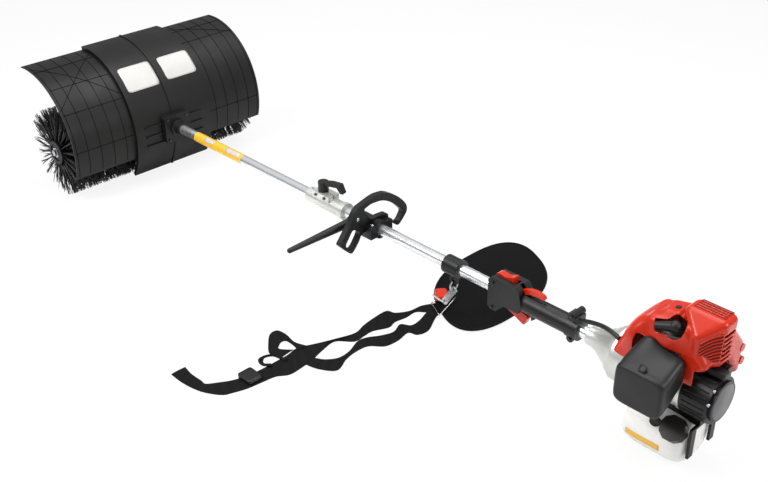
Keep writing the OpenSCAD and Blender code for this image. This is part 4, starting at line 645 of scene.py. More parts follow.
@dataclass
class BrushHead(Assembly):
    """The guard with its ribs and blank stickers, and the brush with its bristles."""

    axis_z: float = 122.0
    root_r: float = 32.0
    tip_r: float = 121.5
    tufts_from: float = 47.0
    tufts_to: float = 286.0
    tuft_rings: int = 27
    tufts_around: int = 22
    strands: int = 7
    strand_r: tuple = (1.25, 1.15, 1.0, 0.7)
    strand_sides: int = 3
    strand_shares: tuple = (0.0, 0.4, 0.75, 1.0)
    seed: int = 11
    tuft_turn: float = 0.02
    root_drift: float = 1.2
    tip_drift: float = 2.5
    fan: tuple[float, float] = (0.045, 4.0)
    tuft_fan: tuple[float, float] = (0.025, 2.0)
    bend_power: float = 1.6
    guard_x: float = -64.0
    guard_z: float = 150.5
    wing_r: float = 200.0
    band_r: float = 209.5
    rib_r: float = 0.8
    rib_lift: float = 0.1
    rib_arc: tuple[float, float] = (-16.0, 94.0)
    rib_reach: tuple[float, float] = (126.0, 300.0)
    rib_rounds: tuple = (150, 188, 226, 264, 296)
    rib_rows: dict = field(default_factory=lambda: {-1: (4, 34, 56, 78), 1: (2, 80, 64)})
    rib_slants: dict = field(default_factory=lambda: {-1: ((84, 38), (38, 84)), 1: ((88, 62),)})
    boom_z: float = 157.0
    collar_x: tuple = (160.0, 168.0, 170.0, 186.0, 187.0, 187.0)
    collar_r: tuple = (23.5, 23.0, 18.0, 17.0, 16.0, 13.2)
    stickers: dict = field(default_factory=lambda: {
        "left_sticker": ((35, -105), (55.5, -6)), "right_sticker": ((36, 20), (55.5, 118))})
    rounded: dict = field(default_factory=lambda: {
        "guard_bracket": (GUARD_PLASTIC, 1.5), "gearbox_housing": (CAST_ALUMINIUM, 1.5)})

    def build(self) -> None:
        """Builds the bristles, the ribs of both wings, the collar and the two stickers."""
        for side, word in ((-1, "left"), (1, "right")):
            self.bristles(side, word)
        for side, word in ((-1, "left"), (1, "right")):
            self.ribs(side, word)
        self.collar()
        for name, (low, high) in self.stickers.items():
            film = plate(name, rounded_outline(low, high, 0.16), 0.1, 0.35, 10,
                         lambda angle, y, height: self.on_guard(angle, y, self.band_r + height))
            dressed(film, WHITE_FILM, "guard_plastic")

    def on_guard(self, angle: np.ndarray, y: np.ndarray, radius: np.ndarray | float) -> np.ndarray:
        """Places at a radius around the guard's axis, at degrees from the rear upwards, along the brush."""
        turn = np.radians(angle)
        return at(self.guard_x + radius * np.cos(turn), y, self.guard_z + radius * np.sin(turn))

    def bristles(self, side: int, word: str) -> None:
        """Strands from the core outwards, in tufts: each a thin three-sided spike that bends a little.

        Args:
            side: -1 for the left half of the brush, 1 for the right.
            word: The side's name.
        """
        chance = np.random.default_rng(self.seed + side)
        ring, spoke, _ = (v.ravel() for v in np.meshgrid(
            np.arange(self.tuft_rings), np.arange(self.tufts_around), np.arange(self.strands), indexing="ij"))
        count = ring.size
        pitch = (self.tufts_to - self.tufts_from) / (self.tuft_rings - 1)
        tuft = ring * self.tufts_around + spoke
        wander = chance.normal(0, 1, (self.tuft_rings * self.tufts_around, 2))[tuft]
        angle = (spoke + 0.5 * (ring % 2)) * 2 * np.pi / self.tufts_around + self.tuft_turn * wander[:, 0]
        y_root = self.tufts_from + ring * pitch + chance.normal(0, self.root_drift, count)
        spread = np.stack([chance.normal(0, own, count) for own in self.fan], -1)
        spread += np.asarray(self.tuft_fan) * wander
        reach = self.tip_r - np.abs(chance.normal(0, self.tip_drift, count))
        share = np.asarray(self.strand_shares)
        bend = share**self.bend_power
        turn = angle[:, None] + spread[:, :1] * bend
        y = np.clip(y_root[:, None] + spread[:, 1:] * bend, self.tufts_from - 4, self.tufts_to + 5)
        radius = self.root_r + (reach[:, None] - self.root_r) * share
        none = np.zeros_like(turn)
        out = np.stack([np.cos(turn), none, np.sin(turn)], -1)
        over = np.stack([-np.sin(turn), none, np.cos(turn)], -1)
        centre = radius[..., None] * out + np.stack([none, side * y, none + self.axis_z], -1)
        around = np.arange(self.strand_sides) * 2 * np.pi / self.strand_sides
        ring_at = (np.cos(around)[:, None] * np.array([0.0, 1.0, 0.0])
                   + np.sin(around)[:, None] * over[:, :, None, :])
        points = centre[:, :, None] + np.asarray(self.strand_r)[None, :, None, None] * ring_at
        corners = len(share) * self.strand_sides
        starts = np.arange(count)[:, None, None] * corners
        first = np.arange(self.strand_sides)
        quads = grid_faces(len(share), self.strand_sides, True)[None] + starts
        caps = np.stack([first[::-1], corners - self.strand_sides + first])[None] + starts
        faces = quads.reshape(-1, 4).tolist() + caps.reshape(-1, self.strand_sides).tolist()
        piece = outward(put_mesh(f"bristle_tufts_{word}", metres(points.reshape(-1, 3)), faces))
        dressed(piece, BRISTLE_NYLON, "bristle_nylon", f"bristles_{word}", body="brush")

    def ribs(self, side: int, word: str) -> None:
        """Fine raised lines on a wing: rounds at fixed places, rows at fixed angles and slanting lines.

        Args:
            side: -1 for the left wing, 1 for the right.
            word: The side's name.
        """
        share = np.linspace(0, 1, 40)
        low, high = self.rib_arc
        start, end = self.rib_reach
        along = start + (end - start) * share
        lines = [(low + (high - low) * share, np.full(40, y)) for y in self.rib_rounds]
        lines += [(np.full(40, angle), along) for angle in self.rib_rows[side]]
        lines += [(a + (b - a) * share, along) for a, b in self.rib_slants[side]]
        parts = [tube_parts(self.on_guard(angle, side * y, self.wing_r + self.rib_lift), self.rib_r * MM, 6,
                            (0.3, 1.0, 0.2) if np.ptp(y) < 1 else (1.0, 0.05, 0.4)) for angle, y in lines]
        # The ribs wear RIB_SHADOW: painted shade that makes them read as dark lines
        dressed(joined(f"guard_ribs_{word}", parts), RIB_SHADOW, "guard_plastic")

    def collar(self) -> None:
        """The black collar where the tube leaves the bracket: a ring whose outside narrows in three steps."""
        turn = np.linspace(0, 2 * np.pi, 48, endpoint=False)
        x, r = np.asarray(self.collar_x)[:, None], np.asarray(self.collar_r)[:, None]
        piece = capped_piece("bracket_collar", at(x, r * np.cos(turn), self.boom_z + r * np.sin(turn)))
        piece.data.set_sharp_from_angle(angle=math.radians(40))
        dressed(piece, GUARD_PLASTIC, "guard_plastic")


@dataclass
class Boom(Assembly):
    """The tube with its coupler, handles, grip and blank label."""

    axis_z: float = 157.0
    tube_r: float = 13.0
    label_from: float = 257.0
    label_to: float = 461.0
    label_sides: int = 48
    film_t: float = 0.4
    patches: dict = field(default_factory=lambda: {
        "label_patch_front": (300, 340), "label_patch_rear": (392, 452)})
    patch_angles: tuple[float, float] = (96.0, 150.0)
    bolts: tuple = (((955.0, -56.7, 198.6), (960.5, -56.7, 198.6)),
                    ((967.2, -22.2, 170.0), (967.2, -22.2, 176.0)))
    bolt_r: float = 4.5
    block_lift: float = 7.0
    block_low: float = 136.5
    block_x: tuple[float, float] = (1342.0, 1403.0)
    shells: tuple[str, str] = ("grip_shell_left", "grip_shell_right")
    rounded: dict = field(default_factory=lambda: {
        "loop_handle": (GRIP_PLASTIC, 2.0), "handle_clamp": (GRIP_PLASTIC, 2.0),
        "barrier_bar": (GRIP_PLASTIC, 1.0), "hanger_clamp": (GRIP_PLASTIC, 1.5),
        "throttle_trigger": (RED_ABS, 2.0), "lockout_lever": (RED_ABS, 2.0), "stop_switch": (RED_ABS, 1.2),
        "coupler_body": (CAST_ALUMINIUM, 1.5), "coupler_knob": (GRIP_PLASTIC, 1.5)})

    def build(self) -> None:
        """Builds the label around the lower tube, its two pale patches and two bolts of the handle."""
        self.label()
        for name, (low, high) in self.patches.items():
            outline = rounded_outline((low, self.patch_angles[0]), (high, self.patch_angles[1]), 0.1)
            patch = plate(name, outline, 0.45, 0.2, 4, self.on_tube)
            dressed(patch, WHITE_FILM, "tube_aluminium")
        dressed(rods("handle_bolts", self.bolts, self.bolt_r, 6), PLATED_STEEL, "steel")

    def label(self) -> None:
        """The blank yellow label: a thin ring around the tube that dips into it at both ends."""
        count = self.label_sides
        turn = np.linspace(0, 360, count, endpoint=False)
        x = np.array([self.label_from, self.label_from, self.label_to, self.label_to])
        lift = self.film_t * np.array([-1, 1, 1, -1])
        inner = np.roll(grid_faces(2, count, True), 2, axis=1)
        inner = np.where(inner < count, inner, inner + 2 * count)
        faces = np.vstack([grid_faces(4, count, True), inner])
        piece = outward(put_mesh("tube_label", self.on_tube(x[:, None], turn, lift[:, None]), faces))
        piece.data.set_sharp_from_angle(angle=math.radians(40))
        dressed(piece, YELLOW_FILM, "tube_aluminium")

    def on_tube(self, x: np.ndarray, angle: np.ndarray, lift: np.ndarray | float) -> np.ndarray:
        """Places on a circle around the tube, at degrees from the right side upwards and over its surface."""
        r, turn = self.tube_r + lift, np.radians(angle)
        return at(x, r * np.cos(turn), self.axis_z + r * np.sin(turn))

    def raised(self, places: np.ndarray) -> np.ndarray:
        """Lifts the low rear edge of the grip's block, so that more of the trigger shows.

        Args:
            places: Corners of a grip shell in millimetres.

        Returns:
            The corners after the lift.
        """
        x, z = places[:, 0], places[:, 2]
        low = (z < self.block_low) & (x > self.block_x[0]) & (x < self.block_x[1])
        return places + np.array([0.0, 0.0, self.block_lift]) * low[:, None]

    def dress(self) -> None:
        """Rounds the listed solids, and the grip's shells with the edge of their block raised."""
        super().dress()
        for node in self.shells:
            softened(node, GRIP_PLASTIC, 3.0, self.raised)


@dataclass
class Harness(Assembly):
    """The hip pad, its straps and its metal and plastic hardware, laid on the floor."""

    pad_at: tuple[float, float] = (1153.0, 186.0)
    pad_w: float = 250.0
    pad_l: float = 356.0
    power: float = 2.4
    skew: float = -0.48
    waist: float = 0.02
    thick: float = 20.0
    crown_fall: float = 0.62
    crown_power: float = 3.2
    cut_share: float = 0.985
    sewn_from: float = 0.93
    cloth_mm: float = 5.0
    pressure: float = 4.0
    frames: int = 20
    cap: float = 8.0
    floor_gap: float = 0.3
    piping_share: float = 0.972
    piping_z: float = 6.2
    piping_r: float = 3.4
    origin: tuple[float, float] = (1135.0, 20.0)
    strap_step: float = 0.45
    strap_top: float = 1.9
    strap_low: float = 0.3
    wave: float = 1.6
    wave_run: float = 23.0
    slide_at: tuple[float, float] = (-102.6, -456.0)
    slide_half: tuple[float, float] = (21.0, 17.0)
    slide_t: float = 10.8
    wire_r: float = 1.1
    wire_corners: tuple = ((1152, 62, 25), (1160, 0, 9), (1112, 24, 9), (1135, 68, 30))
    rounded: dict = field(default_factory=lambda: {"quick_release": (RED_ABS, 1.5)})
    straps: dict = field(default_factory=lambda: {
        "tail_strap": (38.0, [
            [-230, -530, 0, -230, -565], [-200, -535, 1, -195, -565], [-165, -535, 3, -160, -560],
            [-150, -535, 3, -130, -550], [-140, -515, 0, -100, -530], [-125, -490, 0, -90, -510],
            [-115, -460, 0, -80, -480], [-110, -420, 0, -75, -445], [-110, -380, 0, -70, -415],
            [-110, -350, 0, -55, -390], [-115, -325, 0, -55, -360], [-110, -305, 0, -60, -320]]),
        "upper_strap": (34.0, [
            [-110, -305, 0, -60, -320], [-95, -280, 2, -70, -285], [-70, -245, 10, -75, -245],
            [-65, -195, 2, -45, -215], [-75, -160, 0, -45, -185], [-80, -125, 0, -45, -160],
            [-80, -85, 0, -30, -125], [-60, -75, 0, -35, -100], [-40, -50, 3, -30, -70],
            [-35, -20, 4, -30, -40], [-30, 5, 0, -10, -20], [-10, 40, 0, 10, 15]]),
        "lower_strap": (34.0, [
            [-60, -320, 3, -60, -345], [-40, -305, 1, -25, -335], [-25, -280, 0, 5, -310],
            [-25, -250, 1, -10, -270], [-40, -210, 0, -15, -235], [-35, -185, 0, -10, -205],
            [-20, -160, 0, 15, -180], [-10, -130, 0, 20, -145], [-20, -100, 0, 15, -110],
            [0, -85, 0, 35, -100], [0, -60, 0, 40, -70], [-10, -20, 2, 15, -15],
            [-10, 30, 2, 20, 30]]),
        "side_loop_strap": (30.0, [
            [-105, -300, 0, -105, -325], [-135, -310, 0, -125, -320], [-170, -305, 0, -150, -320],
            [-195, -310, 0, -155, -330], [-195, -330, 0, -150, -340], [-170, -355, 0, -140, -350],
            [-140, -375, 0, -125, -340], [-110, -370, 0, -115, -330]]),
        "small_loop_strap": (12.0, [
            [-95, -360, 1, -95, -370], [-130, -375, 2, -125, -375], [-140, -390, 2, -135, -390],
            [-135, -410, 4, -130, -400], [-115, -415, 3, -120, -405], [-100, -400, 2, -110, -395]]),
    })

    def build(self) -> None:
        """Builds the padded cushion with its piping, every strap, the slide and the wire."""
        self.pad()
        for step, (name, (width, table)) in enumerate(self.straps.items()):
            self.strap(name, width, np.asarray(table, float), self.strap_step * step)
        self.slide()
        self.wire()

    def edge(self, angle: np.ndarray) -> np.ndarray:
        """The pad's outline: a squared ellipse, pinched a little at four places and leaning.

        Args:
            angle: Angles around its middle.

        Returns:
            Places on the floor from its middle, in millimetres.
        """
        pinch = 1 - self.waist * (1 + np.cos(4 * angle)) / 2
        x, y = np.moveaxis(squared_circle(angle, self.power), -1, 0) * pinch
        x = x * self.pad_w / 2
        return np.stack([x, y * self.pad_l / 2 + self.skew * x], -1)

    def pad(self) -> None:
        """The cushion: rings of the outline shrink inwards as the crown rises and the base closes."""
        angle = np.linspace(0, 2 * np.pi, 160, endpoint=False)
        rim = 1 - 0.1 * np.cos(np.linspace(0.3, 1, 8) * np.pi / 2)
        share = np.concatenate([np.linspace(0.02, 0.9, 30), rim])
        crown = np.clip(1 - self.crown_fall * share**self.crown_power, 0.3, 1) * (self.thick - 0.6)
        shares = np.concatenate([share, [0.995, 0.975, 0.94], np.linspace(0.85, 0.02, 8)])
        height = np.concatenate([crown, [2.2, 0.9, 0.4], np.full(8, self.floor_gap)])
        flat = shares[:, None, None] * self.edge(angle)[None] * self.cut_share + np.asarray(self.pad_at)
        blank = capped_piece("hip_pad_blank", at(flat[..., 0], flat[..., 1], height[:, None]))
        piece = self.swollen(blank, "hip_pad_cushion")
        dressed(piece, PAD_CLOTH, "black_cloth", "hip_pad")
        loop = self.edge(np.concatenate([angle, angle[:2]])) * self.piping_share + np.asarray(self.pad_at)
        path = at(loop[:, 0], loop[:, 1], self.piping_z)
        piping = joined("hip_pad_piping", [tube_parts(path, self.piping_r * MM, 8, (0.0, 0.0, 1.0))])
        dressed(piping, WEBBING_CLOTH, "black_cloth")

    def swollen(self, blank: bpy.types.Object, name: str) -> bpy.types.Object:
        """Puts an even skin on the cushion, blows it up and gives it a weave map over its plan.

        Args:
            blank: The cushion as cut, which is used up.
            name: The name of the result.

        Returns:
            The swollen cushion, flat on the floor.
        """
        skin = blank.modifiers.new("even_skin", "REMESH")
        skin.mode = "VOXEL"
        skin.voxel_size = self.cloth_mm * MM
        even = frozen(blank)
        bpy.data.objects.remove(blank)
        even.name = name
        piece = placed(even)
        places = corners_of(even)
        places = self.blown(piece, places)
        even.vertices.foreach_set("co", places.ravel())
        set_uv(even, "weave", places[:, :2])
        even.shade_smooth()
        finer = piece.modifiers.new("finer", "SUBSURF")
        finer.levels = finer.render_levels = 1
        return piece

    def blown(self, piece: bpy.types.Object, start: np.ndarray) -> np.ndarray:
        """Runs the cushion as cloth under pressure with its sewn edge held, and lets no point stray far.

        Args:
            piece: The cushion in even faces, which is left as it was.
            start: Its corners in metres.

        Returns:
            The corners after the run.
        """
        scene = bpy.context.scene
        plan = millimetres(start)[:, :2] - np.asarray(self.pad_at)
        lean = plan - np.stack([np.zeros(len(plan)), self.skew * plan[:, 0]], -1)
        half = np.array([self.pad_w, self.pad_l]) / 2
        reach = ((np.abs(lean) / half)**self.power).sum(1)**(1 / self.power)
        held = piece.vertex_groups.new(name="sewn_edge")
        held.add(np.flatnonzero(reach > self.sewn_from).tolist(), 1.0, "REPLACE")
        cloth = piece.modifiers.new("cushion_cloth", "CLOTH")
        cloth.settings.use_pressure = True
        cloth.settings.uniform_pressure_force = self.pressure
        cloth.settings.effector_weights.gravity = 0.0
        cloth.settings.vertex_group_mass = "sewn_edge"
        cloth.point_cache.frame_start = 1
        cloth.point_cache.frame_end = self.frames
        for step in range(1, self.frames + 1):
            scene.frame_set(step)
        result = frozen(piece)
        move = corners_of(result) - start
        piece.modifiers.remove(cloth)
        piece.vertex_groups.remove(held)
        scene.frame_set(1)
        bpy.data.meshes.remove(result)
        far = np.linalg.norm(move, axis=1)
        LOG.info("cushion moved %.1f mm on average and %.1f mm at most", far.mean() / MM, far.max() / MM)
        end = start + move * np.minimum(1, self.cap * MM / np.maximum(far, 1e-9))[:, None]
        end[:, 2] = np.maximum(end[:, 2], self.floor_gap * MM)
        return end

    def strap(self, name: str, width: float, table: np.ndarray, base: float) -> None:
        """A strap between two edges on the floor: it narrows where it twists, one edge lifts, and it waves.

        Args:
            name: The piece's name.
            width: Its flat width.
            table: Its far edge as x, y and height and its near edge as x and y, from the harness's origin.
            base: Height of its under side over the floor.
        """
        run = smooth_run(table, 12)
        far, near = run[:, :3], np.column_stack([run[:, 3:], np.zeros(len(run))])
        share = np.linspace(0, 1, 9)
        line = (far + near) / 2
        length = np.concatenate([[0], np.cumsum(np.linalg.norm(np.diff(line, axis=0), axis=1))])
        wave = (0.5 + 0.5 * np.sin(length / self.wave_run))[:, None] * np.sin(share * np.pi) * self.wave
        flat = near[:, None] + (far - near)[:, None] * share[:, None] + np.asarray([*self.origin, 0.0])
        flat[..., 2] = np.maximum(flat[..., 2], 0) + wave
        over, under = (flat + np.array([0.0, 0.0, base + z]) for z in (self.strap_top, self.strap_low))
        across = (share - 0.5) * width
        across = np.concatenate([across, across[::-1]])
        uv = np.stack(np.broadcast_arrays(across[None], length[:, None]), -1) * MM
        piece = capped_piece(name, metres(np.concatenate([over, under[:, ::-1]], 1)), uv)
        piece.data.set_sharp_from_angle(angle=math.radians(50))
        dressed(piece, WEBBING_CLOTH, "black_cloth", "harness_webbing")

    def wire(self) -> None:
        """The bright wire triangle around the buckle: a thin round bar through its corners."""
        corners = np.asarray(self.wire_corners, float)
        bars = [np.linspace(a, b, 6) for a, b in zip(corners, corners[1:])]
        dressed(rods("buckle_wire", bars, self.wire_r, 8), PLATED_STEEL, "steel")

    def slide(self) -> None:
        """The black slide over the tail strap, which covers the plain bar of the hardware."""
        middle, half = np.asarray(self.slide_at) + np.asarray(self.origin), np.asarray(self.slide_half)
        outline = middle + rounded_outline(-half, half, 0.15, 10)
        dressed(plate("strap_slide", outline, 0.2, self.slide_t, 5, at), GRIP_PLASTIC, "black_cloth")


@dataclass
class Engine(Assembly):
    """The power head: its covers, tank, starter and small fittings."""

    boom_z: float = 157.0
    tank_power: float = 2.5
    tank_end_power: float = 5.0
    strip: tuple = ((1692, 186), (1766, 202))
    grommet: tuple = ((1735, 131), (1757, 150))
    filter_low: tuple[float, float, float] = (1688.0, -120.0, 144.0)
    filter_high: tuple[float, float, float] = (1788.0, -47.0, 244.0)
    filter_power: float = 6.0
    lip_from: float = 0.78
    lip_power: float = 3.2
    filter_fall: float = 17.0
    filter_lift: float = 46.0
    filter_hump: float = 12.0
    hump_x: float = 22.0
    hump_run: float = 26.0
    latch: tuple = ((1731, -113), (1745, -103))
    latch_z: float = 222.0
    latch_slope: float = 0.75
    skin_mm: float = 1.6
    relax_rounds: int = 7
    swell: float = 11.0
    hood_axis: tuple[float, float, float] = (1722.0, 0.0, 196.0)
    hood_x: tuple[float, float] = (1640.0, 72.0)
    hood_z: tuple[float, float] = (196.0, 40.0)
    boot_clear: tuple[float, float] = (34.0, 40.0)
    press: float = 0.3
    press_z: float = 286.0
    press_x: tuple[float, float] = (1736.0, -24.0)
    shoulder: float = 9.0
    shoulder_fades: tuple = ((0, 1694, 20), (0, 1748, -14), (1, -27, 22), (2, 262, 20))
    slats: int = 8
    slat_line: tuple = ((1799.1, -37.9), (1825.1, -7.9))
    slat_z: float = 229.0
    slat_pitch: float = 7.2
    slat_rise: float = 17.0
    slat_top: tuple[float, float] = (286.0, 20.0)
    slat_up: tuple[float, float, float] = (0.75, -0.65, 0.1)
    slat_r: float = 1.9
    gap_r: float = 1.3
    gap_drop: float = 3.1
    top_slat_r: float = 1.5
    top_gap_r: float = 1.2
    top_x: tuple[float, float] = (1756.0, 1818.0)
    top_z: float = 318.6
    gap_inset: float = 1.0
    gap_low: float = 0.2
    top_slats: tuple = (8, 15, 22, 29)
    top_gaps: tuple = (4.5, 11.5, 18.5, 25.5, 32.5)
    tabs: tuple = ((68, 233), (74, 202))
    tab_x: tuple[float, float] = (1812.0, 1829.0)
    tab_r: float = 8.0
    recess: tuple = ((1721, 2), (1731, 12))
    recess_z: float = 290.4
    recess_slope: float = 0.18
    recess_x: float = 1725.0
    conduit_r: float = 4.6
    conduit_route: tuple = ((1536, -8, 184.5), (1562, -13, 196), (1590, -19, 205), (1615, -26, 209.5),
                            (1641, -33, 208))
    starter_x: float = 1842.0
    disc_r: float = 36.0
    bolts: tuple = ((-43, 171), (-30, 194))
    bolt_x: tuple[float, float] = (1834.0, 1838.6)
    bolt_r: float = 3.4
    rib_x: tuple[float, float] = (1786.0, 1830.0)
    rib_at: float = 46.6
    rib_r: float = 2.0
    rib_angles: tuple[int, int, int] = (110, 250, 14)
    rope_at: tuple[float, float] = (1823.0, 212.5)
    rope_y: tuple[float, float] = (18.0, -6.0)
    rope_r: float = 1.6
    rounded: dict = field(default_factory=lambda: {
        "fuel_cap": (CAP_PLASTIC, 1.5), "engine_stand": (GRIP_PLASTIC, 1.5),
        "starter_housing": (GRIP_PLASTIC, 1.5), "starter_grip": (RUBBER, 2.0),
        "clutch_housing": (CAST_ALUMINIUM, 1.5), "muffler": (SILENCER_STEEL, 3.0)})

    def build(self) -> None:
        """Builds the tank, the filter cover, the louvres and the small fittings."""
        self.tank()
        self.filter_cover()
        self.louvres()
        self.fittings()
        self.starter()
        self.rope()
        self.conduit()

    def dress(self) -> None:
        """Moulds the red cover and rounds the listed solids."""
        self.cover()
        super().dress()

    def tank_box(self) -> tuple[np.ndarray, np.ndarray]:
        """The middle and the half size of the tank's solid, in millimetres from the brush axis."""
        low, high = (millimetres(corner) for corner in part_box("fuel_tank"))
        return (low + high) / 2, (high - low) / 2

    def on_tank(self, x: np.ndarray, angle: np.ndarray, lift: np.ndarray | float) -> np.ndarray:
        """Places on the tank: a squared oval across the machine, drawn in towards both ends.

        Args:
            x: Places along the tank.
            angle: Angles around it in degrees, from the right side upwards.
            lift: Height over its surface.

        Returns:
            The places in metres.
        """
        middle, half = self.tank_box()
        along = np.clip(np.abs((x - middle[0]) / half[0]), 0, 1)
        draw = (1 - along**self.tank_end_power)**(1 / self.tank_end_power) * 0.985 + 0.015
        turn = np.radians(angle)
        across, upward = np.moveaxis(squared_circle(turn, self.tank_power), -1, 0)
        return at(x, middle[1] + half[1] * draw * across + lift * np.cos(turn),
                  middle[2] + half[2] * draw * upward + lift * np.sin(turn))

    def tank(self) -> None:
        """The milky tank with its blank yellow strip and its black grommet."""
        middle, half = self.tank_box()
        LOG.info("tank middle %s, half size %s mm", middle.round(1), half.round(1))
        x = middle[0] + half[0] * np.sin(np.linspace(-1, 1, 61) * np.pi / 2)
        angle = np.linspace(0, 360, 96, endpoint=False)
        piece = capped_piece("tank_moulding", self.on_tank(x[:, None], angle[None], 0.0))
        dressed(piece, TANK_PLASTIC, "tank_plastic", "fuel_tank")
        strip = plate("tank_strip", rounded_outline(*self.strip, 0.1), 0.15, 0.4, 8, self.on_tank)
        dressed(strip, YELLOW_FILM, "tank_plastic")
        grommet = plate("tank_grommet", rounded_outline(*self.grommet, 1.0), -0.5, 3.0, 6, self.on_tank)
        dressed(grommet, RUBBER, "black_rubber")

    def filter_cover(self) -> None:
        """The filter cover: a rounded square runs forwards, falls at the top and ends in a round lip.

        Towards the engine its base rises, and a hump swells on its front upper corner.
        """
        low, high = np.asarray(self.filter_low), np.asarray(self.filter_high)
        lip = np.sin(np.linspace(0.06, 1, 16) * np.pi / 2)
        share = np.concatenate([
            np.linspace(0, self.lip_from, 14), self.lip_from + 0.21 * lip,
            0.99 + np.linspace(0.1, 1, 8) * 0.01])[:, None]
        size = np.concatenate([
            np.ones(14), 0.8 + 0.2 * np.clip(1 - lip**self.lip_power, 0, 1)**(1 / self.lip_power),
            np.linspace(0.72, 0.02, 8)])[:, None]
        across, upward = squared_circle(np.linspace(0, 2 * np.pi, 96, endpoint=False), self.filter_power).T
        half = (high - low) / 2
        swell = 0.94 + 0.06 * np.minimum(share / 0.5, 1)
        x = (low[0] + high[0]) / 2 + half[0] * (size * swell) * across
        y = high[1] - share * (high[1] - low[1])
        keep = 1 - self.filter_fall / (2 * half[2]) * np.clip(share / 0.8, 0, 1)**1.4
        z = low[2] + half[2] * keep * (1 + size * upward)
        upper = np.clip((z - low[2]) / (2 * half[2]), 0, 1)
        inner = np.clip(1 - share, 0, 1)
        z = z + self.filter_lift * inner**1.3 * (1 - upper)**1.5
        z = z + self.filter_hump * inner * upper**2 * np.exp(-((x - low[0] - self.hump_x) / self.hump_run)**2)
        piece = capped_piece("filter_shell", at(x, y, z))
        dressed(piece, FILTER_PLASTIC, "charcoal_plastic", "air_filter_cover")
        foot = self.latch[0][1]
        latch = plate("filter_latch", rounded_outline(*self.latch, 0.3, 6), 0, 7.0, 3,
                      lambda x, y, height: at(x, y, self.latch_z + height + self.latch_slope * (y - foot)))
        dressed(latch, RUBBER, "charcoal_plastic")

    def cover(self) -> None:
        """The red cover: the solid's skin in even small faces, smoothed, its hood swollen away from its axis.

        The swell is a sine along the hood, less towards its lower edge and beside the opening for the boot.
        What stands over the shoulder is pressed down in front of the rear block, and its top is raised.
        """
        blank = placed(bare_copy("engine_cover", "cover_blank"))
        skin = blank.modifiers.new("even_skin", "REMESH")
        skin.mode = "VOXEL"
        skin.voxel_size = self.skin_mm * MM
        skin.use_smooth_shade = True
        relax = blank.modifiers.new("moulded_edges", "SMOOTH")
        relax.factor = 0.5
        relax.iterations = self.relax_rounds
        even = frozen(blank)
        mesh = blank.data
        bpy.data.objects.remove(blank)
        bpy.data.meshes.remove(mesh)
        even.name = "engine_cover_moulded"
        points = millimetres(corners_of(even))
        boot = millimetres(np.mean(np.asarray(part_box("spark_boot")), axis=0))
        away = (points - np.asarray(self.hood_axis)) * np.array([0.7, 1.0, 1.0])
        away /= np.linalg.norm(away, axis=1)[:, None]
        swell = self.swell * np.sin(np.pi * clipped(points[:, 0], *self.hood_x))
        swell *= eased(points[:, 2], *self.hood_z)
        swell *= eased(np.linalg.norm(points - boot, axis=1), *self.boot_clear)
        points += away * swell[:, None]
        over = np.maximum(points[:, 2] - self.press_z, 0) * clipped(points[:, 0], *self.press_x)
        points[:, 2] -= self.press * over
        fades = [eased(points[:, axis], start, run) for axis, start, run in self.shoulder_fades]
        points[:, 2] += self.shoulder * np.prod(fades, axis=0)
        even.vertices.foreach_set("co", metres(points).ravel())
        LOG.info("cover skin has %d faces", len(even.polygons))
        dressed(placed(even), RED_ABS, "red_plastic", "engine_cover")

    def louvres(self) -> None:
        """Raised slats, curved on the cover's left rear corner and straight on its top, and dark tubes of
        painted shade in their gaps.
        """
        share = np.linspace(0, 1, 24)
        start, end = np.asarray(self.slat_line)
        flat = start + share[:, None] * (end - start)
        heights = self.slat_z + self.slat_pitch * np.arange(self.slats)[:, None] + self.slat_rise * (
            1 - (1 - share)**2)
        top = self.slat_top[0] + self.slat_top[1] * share
        curved = [np.column_stack([flat, z])[z < top] for z in heights if (z < top).sum() > 4]
        run = np.linspace(*self.top_x, 12)
        slats = [tube_parts(metres(line), self.slat_r * MM, 8, self.slat_up) for line in curved]
        slats += [tube_parts(at(run, y, self.top_z), self.top_slat_r * MM, 8) for y in self.top_slats]
        dressed(joined("cover_slats", slats), RED_ABS, "red_plastic")
        # Dark tubes in RED_SHADOW under the slats: painted shade in the gaps
        drop = np.array([0.0, 0.0, self.gap_drop])
        run = np.linspace(self.top_x[0] + self.gap_inset, self.top_x[1] - self.gap_inset, 12)
        low = self.top_z - self.gap_low
        gap_shade = [tube_parts(metres(line - drop), self.gap_r * MM, 6, self.slat_up) for line in curved]
        gap_shade += [tube_parts(at(run, y, low), self.top_gap_r * MM, 6) for y in self.top_gaps]
        dressed(joined("cover_gap_shade", gap_shade), RED_SHADOW, "red_plastic")

    def fittings(self) -> None:
        """The two round tabs at the cover's rear, and a black plate of painted shade where the recess of its
        screw is.
        """
        tabs = rods("cover_tabs", [[(x, y, z) for x in self.tab_x] for y, z in self.tabs], self.tab_r, 20)
        tabs.data.set_sharp_from_angle(angle=math.radians(30))
        dressed(tabs, RED_ABS, "red_plastic")
        # A black plate on the cover paints the shade in the screw's recess
        level = self.recess_z + self.shoulder
        recess = plate("cover_recess_shade_plate", rounded_outline(*self.recess, 1.0, 8), 0, 1.2, 4,
                       lambda x, y, height: at(
                           x, y, level + height + self.recess_slope * (x - self.recess_x)))
        dressed(recess, RUBBER, "red_plastic")

    def conduit(self) -> None:
        """The throttle conduit: one smooth arch from the grip's end to the cover."""
        path = metres(smooth_run(self.conduit_route, 8))
        piece = joined("conduit_hose", [tube_parts(path, self.conduit_r * MM, 14, (0.0, 1.0, 0.2))])
        dressed(piece, RUBBER, "black_rubber", "throttle_conduit")

